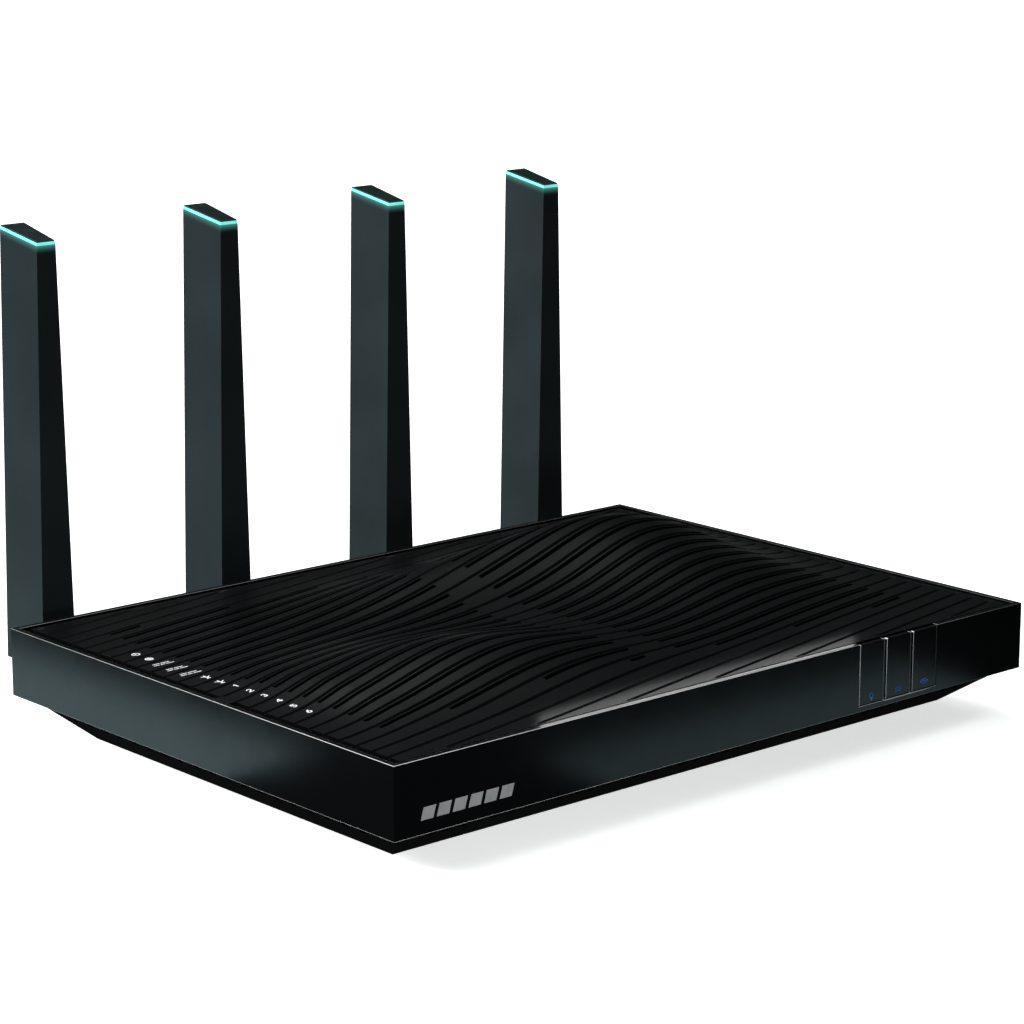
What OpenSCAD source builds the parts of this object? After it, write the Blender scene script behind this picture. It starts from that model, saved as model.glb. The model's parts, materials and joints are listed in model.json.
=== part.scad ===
// Wireless router with four folding active antennas.
// Frame: +X to the right, +Y to the rear, +Z up. The origin is on the floor, under the middle of the
// rectangle that holds the body and the upright antennas. All sizes are in millimetres.

/* [Body] */
// Width of the body
body_w = 316; // [310:1:330]
// Depth of the body, without the antennas
body_d = 228; // [224:1:236]
// Height of the side band
band_h = 26.2; // [25:0.1:30]
// Wall thickness of the side band
band_wall = 2.4; // [2:0.1:2.8]
// Height of the vented tray under the band
tray_h = 15; // [13:0.5:18]
// Height of the rubber feet
foot_h = 3; // [2:0.5:4]
// Radius of a rubber foot
foot_r = 8; // [6:0.5:10]

/* [Vented tray] */
// How far the tray's top edge stands in from the band
tray_top_inset = 3.5; // [3:0.1:4]
// How far the tray's floor stands in at the left and right
tray_side_inset = 19.4; // [17:0.1:21]
// How far the tray's floor stands in at the front
tray_front_inset = 24.7; // [22:0.1:26]
// How far the tray's floor stands in at the rear
tray_rear_inset = 27.5; // [25:0.1:28]
// Spacing of the square vents along the front and rear
vent_pitch_long = 7.4; // [7:0.1:9]
// Spacing of the square vents along the sides
vent_pitch_side = 9.55; // [8.5:0.05:10]
// Width of a square vent
vent_w = 3.7; // [3:0.1:4]

/* [Waved top] */
// Height of the low front hill
low_hill_h = 11; // [6:0.5:12]
// Height of the ridge that runs across the rear
ridge_h = 14.2; // [8:0.1:15]
// Height of the shoulder that falls to the right
shoulder_h = 10.4; // [6:0.1:11]
// Width of the strip over which the hills fade into the rim
fade_w = 35; // [30:1:40]
// Thickness of the top cover
cover_t = 2; // [1.6:0.1:2.4]

/* [Antennas] */
// Spacing of the antennas
antenna_pitch = 85.4; // [84:0.1:87]
// Depth of an antenna, front to rear
antenna_d = 23.2; // [22:0.1:24]
// Height of the antenna's base above the floor
antenna_base_z = 21.8; // [21:0.1:23]
// Height of the antenna's front top edge above the floor
antenna_front_z = 187.2; // [150:0.1:200]
// Height of the antenna's rear top edge above the floor
antenna_rear_z = 191.5; // [154:0.1:204]
// Half of the antenna's width at its front, at the base
antenna_half_w = 7.6; // [7.4:0.1:8]
// Height of the light ring around the tip
ring_h = 1.6; // [1.2:0.1:3]
// Radius of the hinge pin
pin_r = 2; // [1.8:0.1:2.2]

/* [Keys] */
// Width of a front key
key_w = 13.3; // [12.5:0.1:13.5]
// Spacing of the front keys
key_pitch = 14.7; // [14.5:0.1:15]
// Travel of a front key
key_travel = 0.6; // [0.4:0.1:0.7]
// Radius of the power button
power_button_r = 4; // [3.5:0.1:4.2]

/* [Hidden] */
$fn = 48;

// Colours
black_plastic = "#16181a";
dark_grey = "#23282a";
antenna_grey = "#2e3738";
teal_light = "#5fd9d0";
board_green = "#1d4a35";
metal_grey = "#b4b8ba";
contact_gold = "#c8a850";

// Body levels and faces
depth = body_d + 12.8 + antenna_d;
front_y = -depth / 2;
rear_y = front_y + body_d;
floor_z = foot_h;
band_z = foot_h + tray_h;
top_z = band_z + band_h;
half_w = body_w / 2;
join_gap = 0.25;
overlap = 1;

// Top cover
cover_w = body_w - 2 * band_wall - 2 * join_gap;
cover_d = body_d - 2 * band_wall - 2 * join_gap;
cover_y = front_y + body_d / 2;
rim_z = top_z - 0.5;
grid_x = 42;
grid_y = 36;
// Each hill: height, middle from the body's middle, radii, turn in degrees
hills = [
    [low_hill_h, [-66, -42], [62, 39], -15],
    [ridge_h, [52, 51], [81, 26], 0],
    [shoulder_h, [90, 13], [43, 56], -28]
];

// Circuit board
board_t = 1.6;
board_z = band_z + 0.8;
board_top = board_z + board_t;
board_half_w = 148;
board_front_y = -82;
board_rear_y = rear_y - band_wall - 0.6;
sink_x = -8;
sink_front_y = -66;
can_front_y = 24;
can_places = [-76, 29, 78];

// Screws and posts
post_r = 3.4;
screw_r = 1.5;
case_screw_places = [for (x = [-104, 0, 104], y = [front_y + 38, rear_y - 44]) [x, y]];
board_screw_places = [for (x = [-132, -66, 66, 132], y = [board_front_y + 6, board_rear_y - 30]) [x, y]];
tray_floor_t = 2;
tray_wall_t = 2;
ledge_w = 3;

// Rear panel and what sits in it
panel_half_w = 142;
panel_split_x = -89;
panel_low_z = board_top - 0.2;
panel_high_z = top_z - 5;
jack_w = 15.9;
jack_h = 13.3;
jack_d = 21;
socket_w = 11.8;
socket_h = 8.2;
socket_depth = 15;
jack_places = [-24, -8, 8, 24, 62, 78, 102];
usb_places = [-60, -79];
usb_w = 14.4;
usb_h = 7;
usb_mouth_w = 12.6;
usb_mouth_h = 5.1;
inlet_x = -97;
inlet_w = 9.6;
inlet_h = 11;
inlet_bore_r = 3.1;
inlet_mouth = 3;
inlet_nose_r = 4.6;
inlet_nose = 3.3;
inlet_z = board_top + inlet_h / 2;
power_x = -112;
power_z = board_top + 5.6;
reset_x = 90;
reset_z = board_top + 5.6;
reset_r = 0.9;

// Front keys
key_first_x = 72.4;
key_t = 1.6;
key_low_z = band_z + 2.4;
key_high_z = top_z - 0.3;
key_gap = 0.3;
stem_d = 5;
switch_gap = 0.1;
key_board_y = front_y + 14;

// Indicator marks along the left edge of the top
mark_x = -143;
mark_places = [for (i = [0:12]) front_y + 66.7 + 8.44 * i];
guide_z = board_top + 2;
guide_r = 1;

// Hinge and antenna
antenna_y = rear_y + 12.8;
hinge_y = antenna_y + antenna_d / 2;
hinge_z = antenna_base_z + 10.2;
hinge_slot = 6.8;
lug_w = 6;
lug_r = 6;
pin_clearance = 0.05;
antenna_wall = 1.8;
cavity_z = hinge_z + 14;
rear_flare = 0.0603;
side_taper = 0.0207;
cap_inset = 1.25;

function smooth(t) = let(c = min(1, max(0, t))) c * c * (3 - 2 * c);

// Fades from 1 in the middle to 0 at the rim
function fade(x, y) =
    smooth((cover_w / 2 - 1.5 - abs(x)) / fade_w) * smooth((cover_d / 2 - 1.5 - abs(y)) / fade_w);

function hill(h, x, y) = let(
    dx = x - h[1][0],
    dy = y - h[1][1],
    u = (dx * cos(h[3]) + dy * sin(h[3])) / h[2][0],
    v = (dy * cos(h[3]) - dx * sin(h[3])) / h[2][1]
) h[0] * exp(-u * u - v * v);

// Height of the waved top over its rim, from the body's middle
function wave(x, y) = fade(x, y) * (hill(hills[0], x, y) + hill(hills[1], x, y) + hill(hills[2], x, y));

function antenna_x(i) = (i - 2.5) * antenna_pitch;

// Half of the antenna's width at a place on its side
function antenna_half(y, z) = antenna_half_w + rear_flare * (y - antenna_y) - side_taper * (z - antenna_base_z);

// Box from its middle in X, its low Y and its low Z
module block(x, y, z, size) {
    translate([x - size[0] / 2, y, z]) cube(size);
}

// Upright cylinder
module post(x, y, z, r, h) {
    translate([x, y, z]) cylinder(r = r, h = h);
}

// Cylinder along +Y
module rod_y(x, y, z, r, h) {
    translate([x, y, z]) rotate([-90, 0, 0]) cylinder(r = r, h = h);
}

// Cylinder along +X
module rod_x(x, y, z, r, h) {
    translate([x, y, z]) rotate([0, 90, 0]) cylinder(r = r, h = h);
}

// Waved shell, top and underside alike
module waved_shell() {
    nx = grid_x + 1;
    layer = nx * (grid_y + 1);
    points = [
        for (side = [0, 1], j = [0:grid_y], i = [0:grid_x])
            let(x = cover_w * (i / grid_x - 0.5), y = cover_d * (j / grid_y - 0.5))
                [x, y, rim_z + wave(x, y) - side * cover_t]
    ];
    top_faces = [
        for (j = [0:grid_y - 1], i = [0:grid_x - 1], half = [0, 1])
            let(a = j * nx + i)
                half == 0 ? [a, a + nx, a + nx + 1] : [a, a + nx + 1, a + 1]
    ];
    low_faces = [for (f = top_faces) [f[2] + layer, f[1] + layer, f[0] + layer]];
    last = grid_y * nx;
    front_faces = [for (i = [0:grid_x - 1]) [i, i + 1, i + 1 + layer, i + layer]];
    rear_faces = [for (i = [0:grid_x - 1]) [last + i + 1, last + i, last + i + layer, last + i + 1 + layer]];
    left_faces = [
        for (j = [0:grid_y - 1]) [(j + 1) * nx, j * nx, j * nx + layer, (j + 1) * nx + layer]
    ];
    right_faces = [
        for (j = [0:grid_y - 1])
            let(a = j * nx + grid_x) [a, a + nx, a + nx + layer, a + layer]
    ];
    translate([0, cover_y, 0])
        polyhedron(points, concat(top_faces, low_faces, front_faces, rear_faces, left_faces, right_faces));
}

module top_cover() {
    color(black_plastic) difference() {
        union() {
            waved_shell();
            for (p = case_screw_places) cover_post(p);
        }
        for (p = case_screw_places) post(p[0], p[1], floor_z, screw_r, 28);
        for (y = mark_places) post(mark_x, y, rim_z - 4, guide_r + 0.15, 8);
    }
}

// Post that hangs from the cover and takes a case screw
module cover_post(p) {
    low = floor_z + 10;
    post(p[0], p[1], low, post_r, rim_z + wave(p[0], p[1] - cover_y) - cover_t / 2 - low);
}

module side_band() {
    inner_w = body_w - 2 * band_wall;
    inner_d = body_d - 2 * band_wall;
    ledge_z = rim_z - cover_t - 1.4;
    color(black_plastic) difference() {
        block(0, front_y, band_z, [body_w, body_d, band_h]);
        // Inside of the ring
        block(0, front_y + band_wall, ledge_z + 1.4, [inner_w, inner_d, band_h]);
        block(0, front_y + band_wall + ledge_w, band_z - overlap,
            [inner_w - 2 * ledge_w, inner_d - 2 * ledge_w, band_h]);
        block(0, front_y + band_wall, band_z + 1.6, [inner_w, inner_d, ledge_z - band_z - 1.6]);
        // Gap for the front keys, with the ledge cleared behind them
        block(key_first_x + key_pitch, front_y - overlap, key_low_z - key_gap,
            [3 * key_pitch - 1.4 + 2 * key_gap, band_wall + 2 * overlap, band_h]);
        // Opening for the rear panel, and the ledge cleared in front of it for the circuit board
        block(0, rear_y - band_wall - ledge_w - overlap, panel_low_z - join_gap,
            [2 * (panel_half_w + join_gap), band_wall + ledge_w + 2 * overlap, panel_high_z - panel_low_z + 2 * join_gap]);
        block(0, rear_y - band_wall - ledge_w - overlap, band_z - overlap,
            [2 * (board_half_w + join_gap), ledge_w + overlap, 2 * overlap + 1.6]);
    }
    color(black_plastic) for (s = [-1, 1]) key_rib(key_first_x + (1 + s / 2) * key_pitch);
    // Shelf that the key board stands on
    color(black_plastic)
        block(key_first_x + key_pitch, front_y + band_wall + ledge_w - 0.5, band_z, [52, 12, 1.6]);
}

// Thin rib between two front keys
module key_rib(x) {
    block(x, front_y, band_z + 1, [0.8, band_wall + 1.6, band_h - 4.2]);
    block(x, front_y, band_z + 1, [0.8, band_wall, band_h - 1.2]);
}

// Solid that narrows from the band to the floor
module tray_solid(wall, low, high) {
    lift = wall * 1.45;
    x1 = half_w - tray_top_inset - lift;
    x0 = half_w - tray_side_inset - lift;
    yf1 = front_y + tray_top_inset + lift;
    yf0 = front_y + tray_front_inset + lift;
    yr1 = rear_y - tray_top_inset - lift;
    yr0 = rear_y - tray_rear_inset - lift;
    polyhedron(
        [
            [-x0, yf0, low], [x0, yf0, low], [x0, yr0, low], [-x0, yr0, low],
            [-x1, yf1, high], [x1, yf1, high], [x1, yr1, high], [-x1, yr1, high]
        ],
        [[0, 1, 2, 3], [4, 7, 6, 5], [0, 4, 5, 1], [1, 5, 6, 2], [2, 6, 7, 3], [3, 7, 4, 0]]
    );
}

module bottom_tray() {
    color(dark_grey) difference() {
        union() {
            difference() {
                tray_solid(0, floor_z, band_z);
                difference() {
                    tray_solid(tray_wall_t, floor_z, band_z);
                    block(0, front_y, floor_z - overlap, [body_w, body_d, tray_floor_t + overlap]);
                }
                block(0, front_y + 12, band_z - 0.5, [body_w - 24, body_d - 24, 1]);
            }
            for (p = case_screw_places) post(p[0], p[1], floor_z, 5.4, 9.8);
            for (p = board_screw_places) post(p[0], p[1], floor_z, 3.2, board_z - floor_z);
        }
        for (p = case_screw_places) {
            post(p[0], p[1], floor_z - overlap, 3.3, 4);
            post(p[0], p[1], floor_z, screw_r + 0.2, 14);
        }
        for (p = board_screw_places) post(p[0], p[1], floor_z + 4, 1.2, 20);
        tray_vents();
    }
}

// One row of square vents in each sloped wall, and slots in the floor
module tray_vents() {
    row_z = band_z - 6.6;
    long_count = floor((body_w - 44) / vent_pitch_long / 2);
    side_count = floor((body_d - 54) / vent_pitch_side / 2);
    for (i = [-long_count:long_count], y = [front_y, rear_y - 20])
        block(i * vent_pitch_long, y, row_z, [vent_w, 20, vent_w]);
    for (i = [-side_count:side_count], x = [-half_w + 9, half_w - 9])
        block(x, cover_y + i * vent_pitch_side - vent_w / 2, row_z, [18, vent_w, vent_w]);
    for (i = [-9:9], s = [-1, 1])
        block(i * 9, -18 + s * 28 - 22, floor_z - overlap, [3.4, 44, tray_floor_t + 2 * overlap]);
}

// Flat plate of the rear panel between two places in X
module panel_plate(x0, x1) {
    block((x0 + x1) / 2, rear_y - band_wall, panel_low_z, [x1 - x0, band_wall, panel_high_z - panel_low_z]);
}

module rear_panel() {
    color(dark_grey) difference() {
        panel_plate(panel_split_x + 0.1, panel_half_w);
        for (x = jack_places)
            block(x, rear_y - 5, board_top - overlap, [jack_w + 0.4, 10, jack_h + 0.2 + overlap]);
        for (x = usb_places)
            block(x, rear_y - 5, board_top - overlap, [usb_w + 0.4, 10, usb_h + 0.2 + overlap]);
        rod_y(reset_x, rear_y - 5, reset_z, reset_r + 0.25, 10);
    }
}

// End plate of the rear panel, around the power inlet and the power button
module power_panel() {
    color(dark_grey) difference() {
        panel_plate(-panel_half_w, panel_split_x - 0.1);
        rod_y(inlet_x, rear_y - 5, inlet_z, inlet_nose_r + 0.2, 10);
        rod_y(power_x, rear_y - 5, power_z, power_button_r + 0.3, 10);
    }
}

module rubber_feet() {
    color("#0c0c0c") for (x = [-half_w + 36, half_w - 36], y = [front_y + 42, rear_y - 46])
        post(x, y, 0, foot_r, foot_h);
}

module case_screws() {
    color(metal_grey) for (p = case_screw_places) {
        post(p[0], p[1], floor_z + 1.1, 2.8, 1.9);
        post(p[0], p[1], floor_z + 3, screw_r - 0.05, 17);
    }
}

module circuit_board() {
    board_d = board_rear_y - board_front_y;
    color(board_green) difference() {
        block(0, board_front_y, board_z, [2 * board_half_w, board_d, board_t]);
        for (p = board_screw_places) post(p[0], p[1], board_z - overlap, 1.6, board_t + 2 * overlap);
        for (p = case_screw_places) post(p[0], p[1], board_z - overlap, post_r + 0.6, board_t + 2 * overlap);
    }
}

module board_screws() {
    color(metal_grey) for (p = board_screw_places) {
        post(p[0], p[1], board_top, 2.6, 1.6);
        post(p[0], p[1], board_top - 7, 1.15, 7);
    }
}

// The processor and the radio amplifiers stand under the heat sink
module processor() {
    color("#3a3d40") {
        block(-8, -28, board_top, [24, 24, 1.8]);
        block(-8, -25, board_top + 1.8, [18, 18, 0.4]);
    }
}

module memory_chips() {
    color("#202224") for (x = [-40, 24], y = [-28, -12]) block(x, y, board_top, [13, 9.5, 1.1]);
}

module thermal_pads() {
    color("#8fa4b5") {
        block(-8, -25, board_top + 2.2, [18, 18, 0.8]);
        for (x = [-40, 24], y = [-28, -12]) block(x, y, board_top + 1.1, [13, 9.5, 1.9]);
    }
}

module heat_sink() {
    sink_w = 178;
    sink_d = 84;
    fin_pitch = 5.9;
    fin_count = 30;
    fin_t = 1.5;
    sink_z = board_top + 3;
    color(metal_grey) {
        block(sink_x, sink_front_y, sink_z, [sink_w, sink_d, 3.4]);
        for (i = [0:fin_count])
            block(sink_x + (i - fin_count / 2) * fin_pitch, sink_front_y, sink_z + 2, [fin_t, sink_d, 11]);
    }
}

// Plate that takes heat from the underside of the board
module heat_spreader() {
    plate_t = 3;
    color(metal_grey) block(sink_x, sink_front_y + 6, board_z - plate_t, [116, 104, plate_t]);
}

// Folded metal can over one radio
module shield_can(x) {
    can_w = 44;
    can_d = 36;
    sheet_t = 0.4;
    color(metal_grey) difference() {
        block(x, can_front_y, board_top, [can_w, can_d, 4.2]);
        block(x, can_front_y + sheet_t, board_top - overlap, [can_w - 2 * sheet_t, can_d - 2 * sheet_t, 4.8]);
        for (i = [-3:3], j = [0:2]) post(x + i * 6, can_front_y + 8 + j * 10, board_top, 1, 6);
    }
}

// Eight-contact socket that faces the rear
module network_jack(x) {
    mouth_z = board_top + 2.2;
    color(dark_grey) difference() {
        block(x, rear_y - jack_d, board_top, [jack_w, jack_d + 0.3, jack_h]);
        block(x, rear_y - socket_depth, mouth_z, [socket_w, socket_depth + overlap, socket_h]);
        block(x, rear_y - socket_depth, mouth_z, [6.4, socket_depth + overlap, socket_h + 1.6]);
    }
    color(contact_gold) for (i = [-3.5:3.5])
        block(x + i * 1.02, rear_y - socket_depth - 0.5, mouth_z + 0.6, [0.4, 2.6, 5]);
}

module usb_socket(x) {
    mouth_z = board_top + (usb_h - usb_mouth_h) / 2;
    color(metal_grey) difference() {
        block(x, rear_y - 14, board_top, [usb_w, 14.3, usb_h]);
        block(x, rear_y - 12, mouth_z, [usb_mouth_w, 14, usb_mouth_h]);
    }
    color("#2060c0") block(x, rear_y - 12.5, mouth_z + 2.7, [11, 11.3, 1.8]);
}

// Mains-adapter socket with a round nose through the rear panel; its contact pin starts behind the mouth
module power_inlet() {
    nose_y = rear_y + 0.3;
    color(black_plastic) difference() {
        union() {
            block(inlet_x, rear_y - 13, board_top, [inlet_w, 13 - band_wall - 0.2, inlet_h]);
            rod_y(inlet_x, nose_y - inlet_nose, inlet_z, inlet_nose_r, inlet_nose);
        }
        rod_y(inlet_x, rear_y - 9, inlet_z, inlet_bore_r + 0.4, 9.3 - inlet_mouth + 0.01);
        rod_y(inlet_x, nose_y - inlet_mouth, inlet_z, inlet_bore_r, inlet_mouth + overlap);
    }
    color(metal_grey) rod_y(inlet_x, rear_y - 9.5, inlet_z, 1.05, 6.6);
}

module power_switch() {
    color(dark_grey) block(power_x, rear_y - 22, board_top, [9, 10, 9]);
    color("#e8e8e0") rod_y(power_x, rear_y - 12.5, power_z, 1.6, 2.2);
}

module reset_switch() {
    color(dark_grey) block(reset_x, rear_y - 14, board_top, [5, 4.6, 7.6]);
    color("#e8e8e0") rod_y(reset_x, rear_y - 9.6, reset_z, 0.8, 0.7);
}

module power_button() {
    color(black_plastic) {
        rod_y(power_x, rear_y - 8, power_z, power_button_r, 9.4);
        rod_y(power_x, rear_y - 4.2, power_z, power_button_r + 1.1, 1.4);
    }
}

module reset_button() {
    color("#c03028") {
        rod_y(reset_x, rear_y - 7.8, reset_z, reset_r, 6.6);
        rod_y(reset_x, rear_y - 4.4, reset_z, 1.6, 1.2);
    }
}

// Tall front key with a stem that reaches its switch
module front_key(i) {
    x = key_first_x + (i - 1) * key_pitch;
    stem_z = (key_low_z + key_high_z) / 2 - 2;
    color(black_plastic) {
        block(x, front_y, key_low_z, [key_w, key_t, key_high_z - key_low_z]);
        block(x, front_y + key_t - 0.1, key_low_z, [key_w, 1.2, key_high_z - key_low_z - 5.2]);
        block(x, front_y + key_t + 1, stem_z, [3.4, stem_d + 0.2, 4]);
    }
}

module key_board() {
    color(board_green) block(key_first_x + key_pitch, key_board_y, band_z + 1.6, [50, 1.4, 20]);
}

module key_switches() {
    stem_z = (key_low_z + key_high_z) / 2;
    plunger_y = front_y + key_t + 1.2 + stem_d + key_travel + switch_gap;
    for (i = [0:2]) {
        x = key_first_x + i * key_pitch;
        color(dark_grey) block(x, key_board_y - 3.6, stem_z - 3, [6, 3.6, 6]);
        color("#e8e8e0") rod_y(x, plunger_y, stem_z, 1.5, key_board_y - 3.6 - plunger_y + 0.2);
    }
}

// Bar on legs with one clear post under each indicator mark
module light_guide() {
    color("#dfe8ee") {
        block(mark_x, mark_places[0] - 4, guide_z, [4, mark_places[12] - mark_places[0] + 8, 2.4]);
        for (y = mark_places) guide_post(y);
        for (y = [mark_places[0] - 3, mark_places[12] + 3]) post(mark_x, y, board_top, 1.4, 3);
    }
}

module guide_post(y) {
    post(mark_x, y, guide_z + 1, guide_r, rim_z + wave(mark_x, y - cover_y) - 0.3 - guide_z - 1);
}

module indicator_leds() {
    color("#e8e8e0") for (y = mark_places) block(mark_x, y - 0.6, board_top, [2, 1.2, 0.8]);
}

// Arm that carries one antenna behind the rear panel
module hinge_bracket(i) {
    x = antenna_x(i);
    plate_t = 2.4;
    color(black_plastic) difference() {
        union() {
            block(x, rear_y, hinge_z - 9.4, [14, plate_t, 16]);
            block(x, rear_y + plate_t - 0.1, hinge_z - 5, [lug_w, hinge_y - rear_y - plate_t, 10]);
            rod_x(x - lug_w / 2, hinge_y, hinge_z, lug_r, lug_w);
        }
        rod_x(x - lug_w, hinge_y, hinge_z, pin_r, 2 * lug_w);
    }
}

module hinge_pins() {
    color(metal_grey) for (i = [1:4]) rod_x(antenna_x(i) - 6.4, hinge_y, hinge_z, pin_r, 13.2);
}

// Straight stretch of a lead with a round joint at its start
module lead_run(a, b) {
    v = b - a;
    translate(a) sphere(r = 0.7, $fn = 24);
    translate(a) rotate([0, acos(v[2] / norm(v)), atan2(v[1], v[0])]) cylinder(r = 0.7, h = norm(v), $fn = 24);
}

// Coaxial leads from the board to the hinges, inside the body
module antenna_leads() {
    start_z = board_top + 3;
    high_z = panel_high_z - 3.6;
    color("#1c1c1c") for (i = [1:4]) {
        x = antenna_x(i);
        post(x, 66, board_top, 1.8, 2.4);
        lead_run([x, 66, board_top + 1], [x, 66, start_z + 6]);
        lead_run([x, 66, start_z + 6], [x, 72, high_z]);
        lead_run([x, 72, high_z], [x, rear_y - band_wall, high_z]);
    }
}

// Part of the tapered antenna between two planes, given by their heights at its front and rear
module antenna_slice(low_front, low_rear, high_front, high_rear, inset) {
    y0 = antenna_y + inset;
    y1 = antenna_y + antenna_d - inset;
    low_rise = (low_rear - low_front) * inset / antenna_d;
    high_rise = (high_rear - high_front) * inset / antenna_d;
    corners = [[y0, low_front + low_rise], [y1, low_rear - low_rise],
        [y1, high_rear - high_rise], [y0, high_front + high_rise]];
    points = [for (s = [-1, 1], c = corners) [s * (antenna_half(c[0], c[1]) - inset), c[0], c[1]]];
    polyhedron(
        points,
        [[0, 1, 2, 3], [7, 6, 5, 4], [0, 4, 5, 1], [1, 5, 6, 2], [2, 6, 7, 3], [3, 7, 4, 0]]
    );
}

module antenna_shell(i) {
    slot_back = hinge_y + lug_r + 0.6;
    slot_top = hinge_z + lug_r + 0.6;
    color(antenna_grey) translate([antenna_x(i), 0, 0]) difference() {
        antenna_slice(antenna_base_z, antenna_base_z, antenna_front_z - ring_h, antenna_rear_z - ring_h, 0);
        antenna_slice(cavity_z, cavity_z, antenna_front_z + 5, antenna_rear_z + 5, antenna_wall);
        block(0, antenna_y - overlap, antenna_base_z - overlap,
            [hinge_slot, slot_back - antenna_y + overlap, slot_top - antenna_base_z + overlap]);
        rod_x(-6.6, hinge_y, hinge_z, pin_r + pin_clearance, 20);
    }
}

module light_ring(i) {
    color(teal_light) translate([antenna_x(i), 0, 0]) difference() {
        antenna_slice(antenna_front_z - ring_h, antenna_rear_z - ring_h, antenna_front_z, antenna_rear_z, 0);
        antenna_slice(antenna_front_z - 6, antenna_rear_z - 6, antenna_front_z + 5, antenna_rear_z + 5, cap_inset);
    }
}

module antenna_cap(i) {
    color(black_plastic) translate([antenna_x(i), 0, 0]) {
        antenna_slice(antenna_front_z - ring_h, antenna_rear_z - ring_h, antenna_front_z - 0.25, antenna_rear_z - 0.25,
            cap_inset + 0.02);
        antenna_slice(antenna_front_z - 6, antenna_front_z - 6, antenna_front_z - 1, antenna_front_z - 1,
            antenna_wall + 0.05);
    }
}

module antenna_board(i) {
    color(board_green)
        block(antenna_x(i), antenna_y + 4, cavity_z, [1, antenna_d - 8, antenna_front_z - 6 - cavity_z]);
    color(contact_gold)
        for (z = [cavity_z + 20, cavity_z + 62], s = [-1, 1])
            block(antenna_x(i) + s * 0.55, antenna_y + 9, z, [0.1, 5, 34]);
}

top_cover();
side_band();
bottom_tray();
rear_panel();
power_panel();
rubber_feet();
case_screws();
circuit_board();
board_screws();
heat_sink();
heat_spreader();
processor();
memory_chips();
thermal_pads();
for (i = [1:3]) shield_can(can_places[i - 1]);
for (i = [1:6]) network_jack(jack_places[i - 1]);
network_jack(jack_places[6]);  // wan_jack
for (i = [1:2]) usb_socket(usb_places[i - 1]);
power_inlet();
power_switch();
reset_switch();
key_board();
key_switches();
light_guide();
indicator_leds();
for (i = [1:4]) hinge_bracket(i);
hinge_pins();
antenna_leads();
for (i = [1:4]) antenna_shell(i);
for (i = [1:4]) light_ring(i);
for (i = [1:4]) antenna_cap(i);
for (i = [1:4]) antenna_board(i);
for (i = [1:3]) front_key(i);
power_button();
reset_button();
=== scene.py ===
"""Wireless router with four folding antennas: the looks that go round the fixed CAD frame."""

import json
import math

import bmesh
import bpy
import numpy as np
from bpy.props import FloatProperty, FloatVectorProperty, PointerProperty
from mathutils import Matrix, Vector

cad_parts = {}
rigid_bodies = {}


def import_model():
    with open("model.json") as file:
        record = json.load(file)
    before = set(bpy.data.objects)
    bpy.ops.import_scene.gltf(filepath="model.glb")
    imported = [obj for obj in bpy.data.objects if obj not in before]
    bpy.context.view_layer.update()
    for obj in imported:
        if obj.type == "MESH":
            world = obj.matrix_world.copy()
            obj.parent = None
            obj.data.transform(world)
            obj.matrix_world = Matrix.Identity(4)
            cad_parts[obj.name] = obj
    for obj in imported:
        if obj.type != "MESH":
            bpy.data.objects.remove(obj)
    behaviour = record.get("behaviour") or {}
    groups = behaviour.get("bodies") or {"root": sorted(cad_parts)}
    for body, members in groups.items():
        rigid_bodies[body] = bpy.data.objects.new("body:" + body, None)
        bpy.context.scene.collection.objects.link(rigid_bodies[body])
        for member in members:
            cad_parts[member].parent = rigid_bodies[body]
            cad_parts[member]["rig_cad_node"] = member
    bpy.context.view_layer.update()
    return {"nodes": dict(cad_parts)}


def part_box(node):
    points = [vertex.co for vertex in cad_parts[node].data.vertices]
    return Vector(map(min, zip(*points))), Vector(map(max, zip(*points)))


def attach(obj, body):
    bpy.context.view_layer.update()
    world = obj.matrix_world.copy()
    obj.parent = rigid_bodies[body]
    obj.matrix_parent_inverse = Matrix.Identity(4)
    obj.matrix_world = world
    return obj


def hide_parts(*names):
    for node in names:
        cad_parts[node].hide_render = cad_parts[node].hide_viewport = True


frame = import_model()

bl_info = {
    "name": "Wireless Router Looks",
    "version": (1, 0, 0),
    "blender": (4, 5, 0),
    "location": "3D View > Sidebar > Router",
    "description": "Builds the finished shells, sockets, marks and materials of a wireless router",
    "category": "Object",
}

MM = 0.001


def node_box(name):
    """Lowest and highest corner of a CAD node, in millimetres."""
    low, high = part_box(name)
    return low / MM, high / MM


BAND_LOW, BAND_HIGH = node_box("side_band")
COVER_LOW, COVER_HIGH = node_box("top_cover")
PANEL_LOW, PANEL_HIGH = node_box("power_panel")[0], node_box("rear_panel")[1]
BOARD_TOP = node_box("circuit_board")[1].z
KEYS_LOW, KEYS_HIGH = node_box("front_key_1")[0], node_box("front_key_3")[1]
KEY_EDGES = [[corner.x for corner in node_box(f"front_key_{i}")] for i in (1, 2, 3)]
# Middle of the rib between each key and the next
KEY_RIBS = [(a[1] + b[0]) / 2 for a, b in zip(KEY_EDGES, KEY_EDGES[1:])]
# Gaps round the keys and round the rear panel
KEY_GAP, PANEL_GAP = 0.3, 0.25
BAND_WALL = BAND_HIGH.y - PANEL_LOW.y
FRONT_Y, REAR_Y = BAND_LOW.y, BAND_HIGH.y
TOP_Z = BAND_HIGH.z
RIM_Z = TOP_Z - 0.5
COVER_Y = (FRONT_Y + REAR_Y) / 2
COVER_HALF_W = (COVER_HIGH.x - COVER_LOW.x) / 2
COVER_HALF_D = (COVER_HIGH.y - COVER_LOW.y) / 2
# An antenna's lit ring, its height, and the rise of the slanted tip from its front to its rear
TIP_LOW, TIP_HIGH = node_box("light_ring_1")
RING_H = 1.6
TIP_SLOPE = (TIP_HIGH.z - TIP_LOW.z - RING_H) / (TIP_HIGH.y - TIP_LOW.y)
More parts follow.
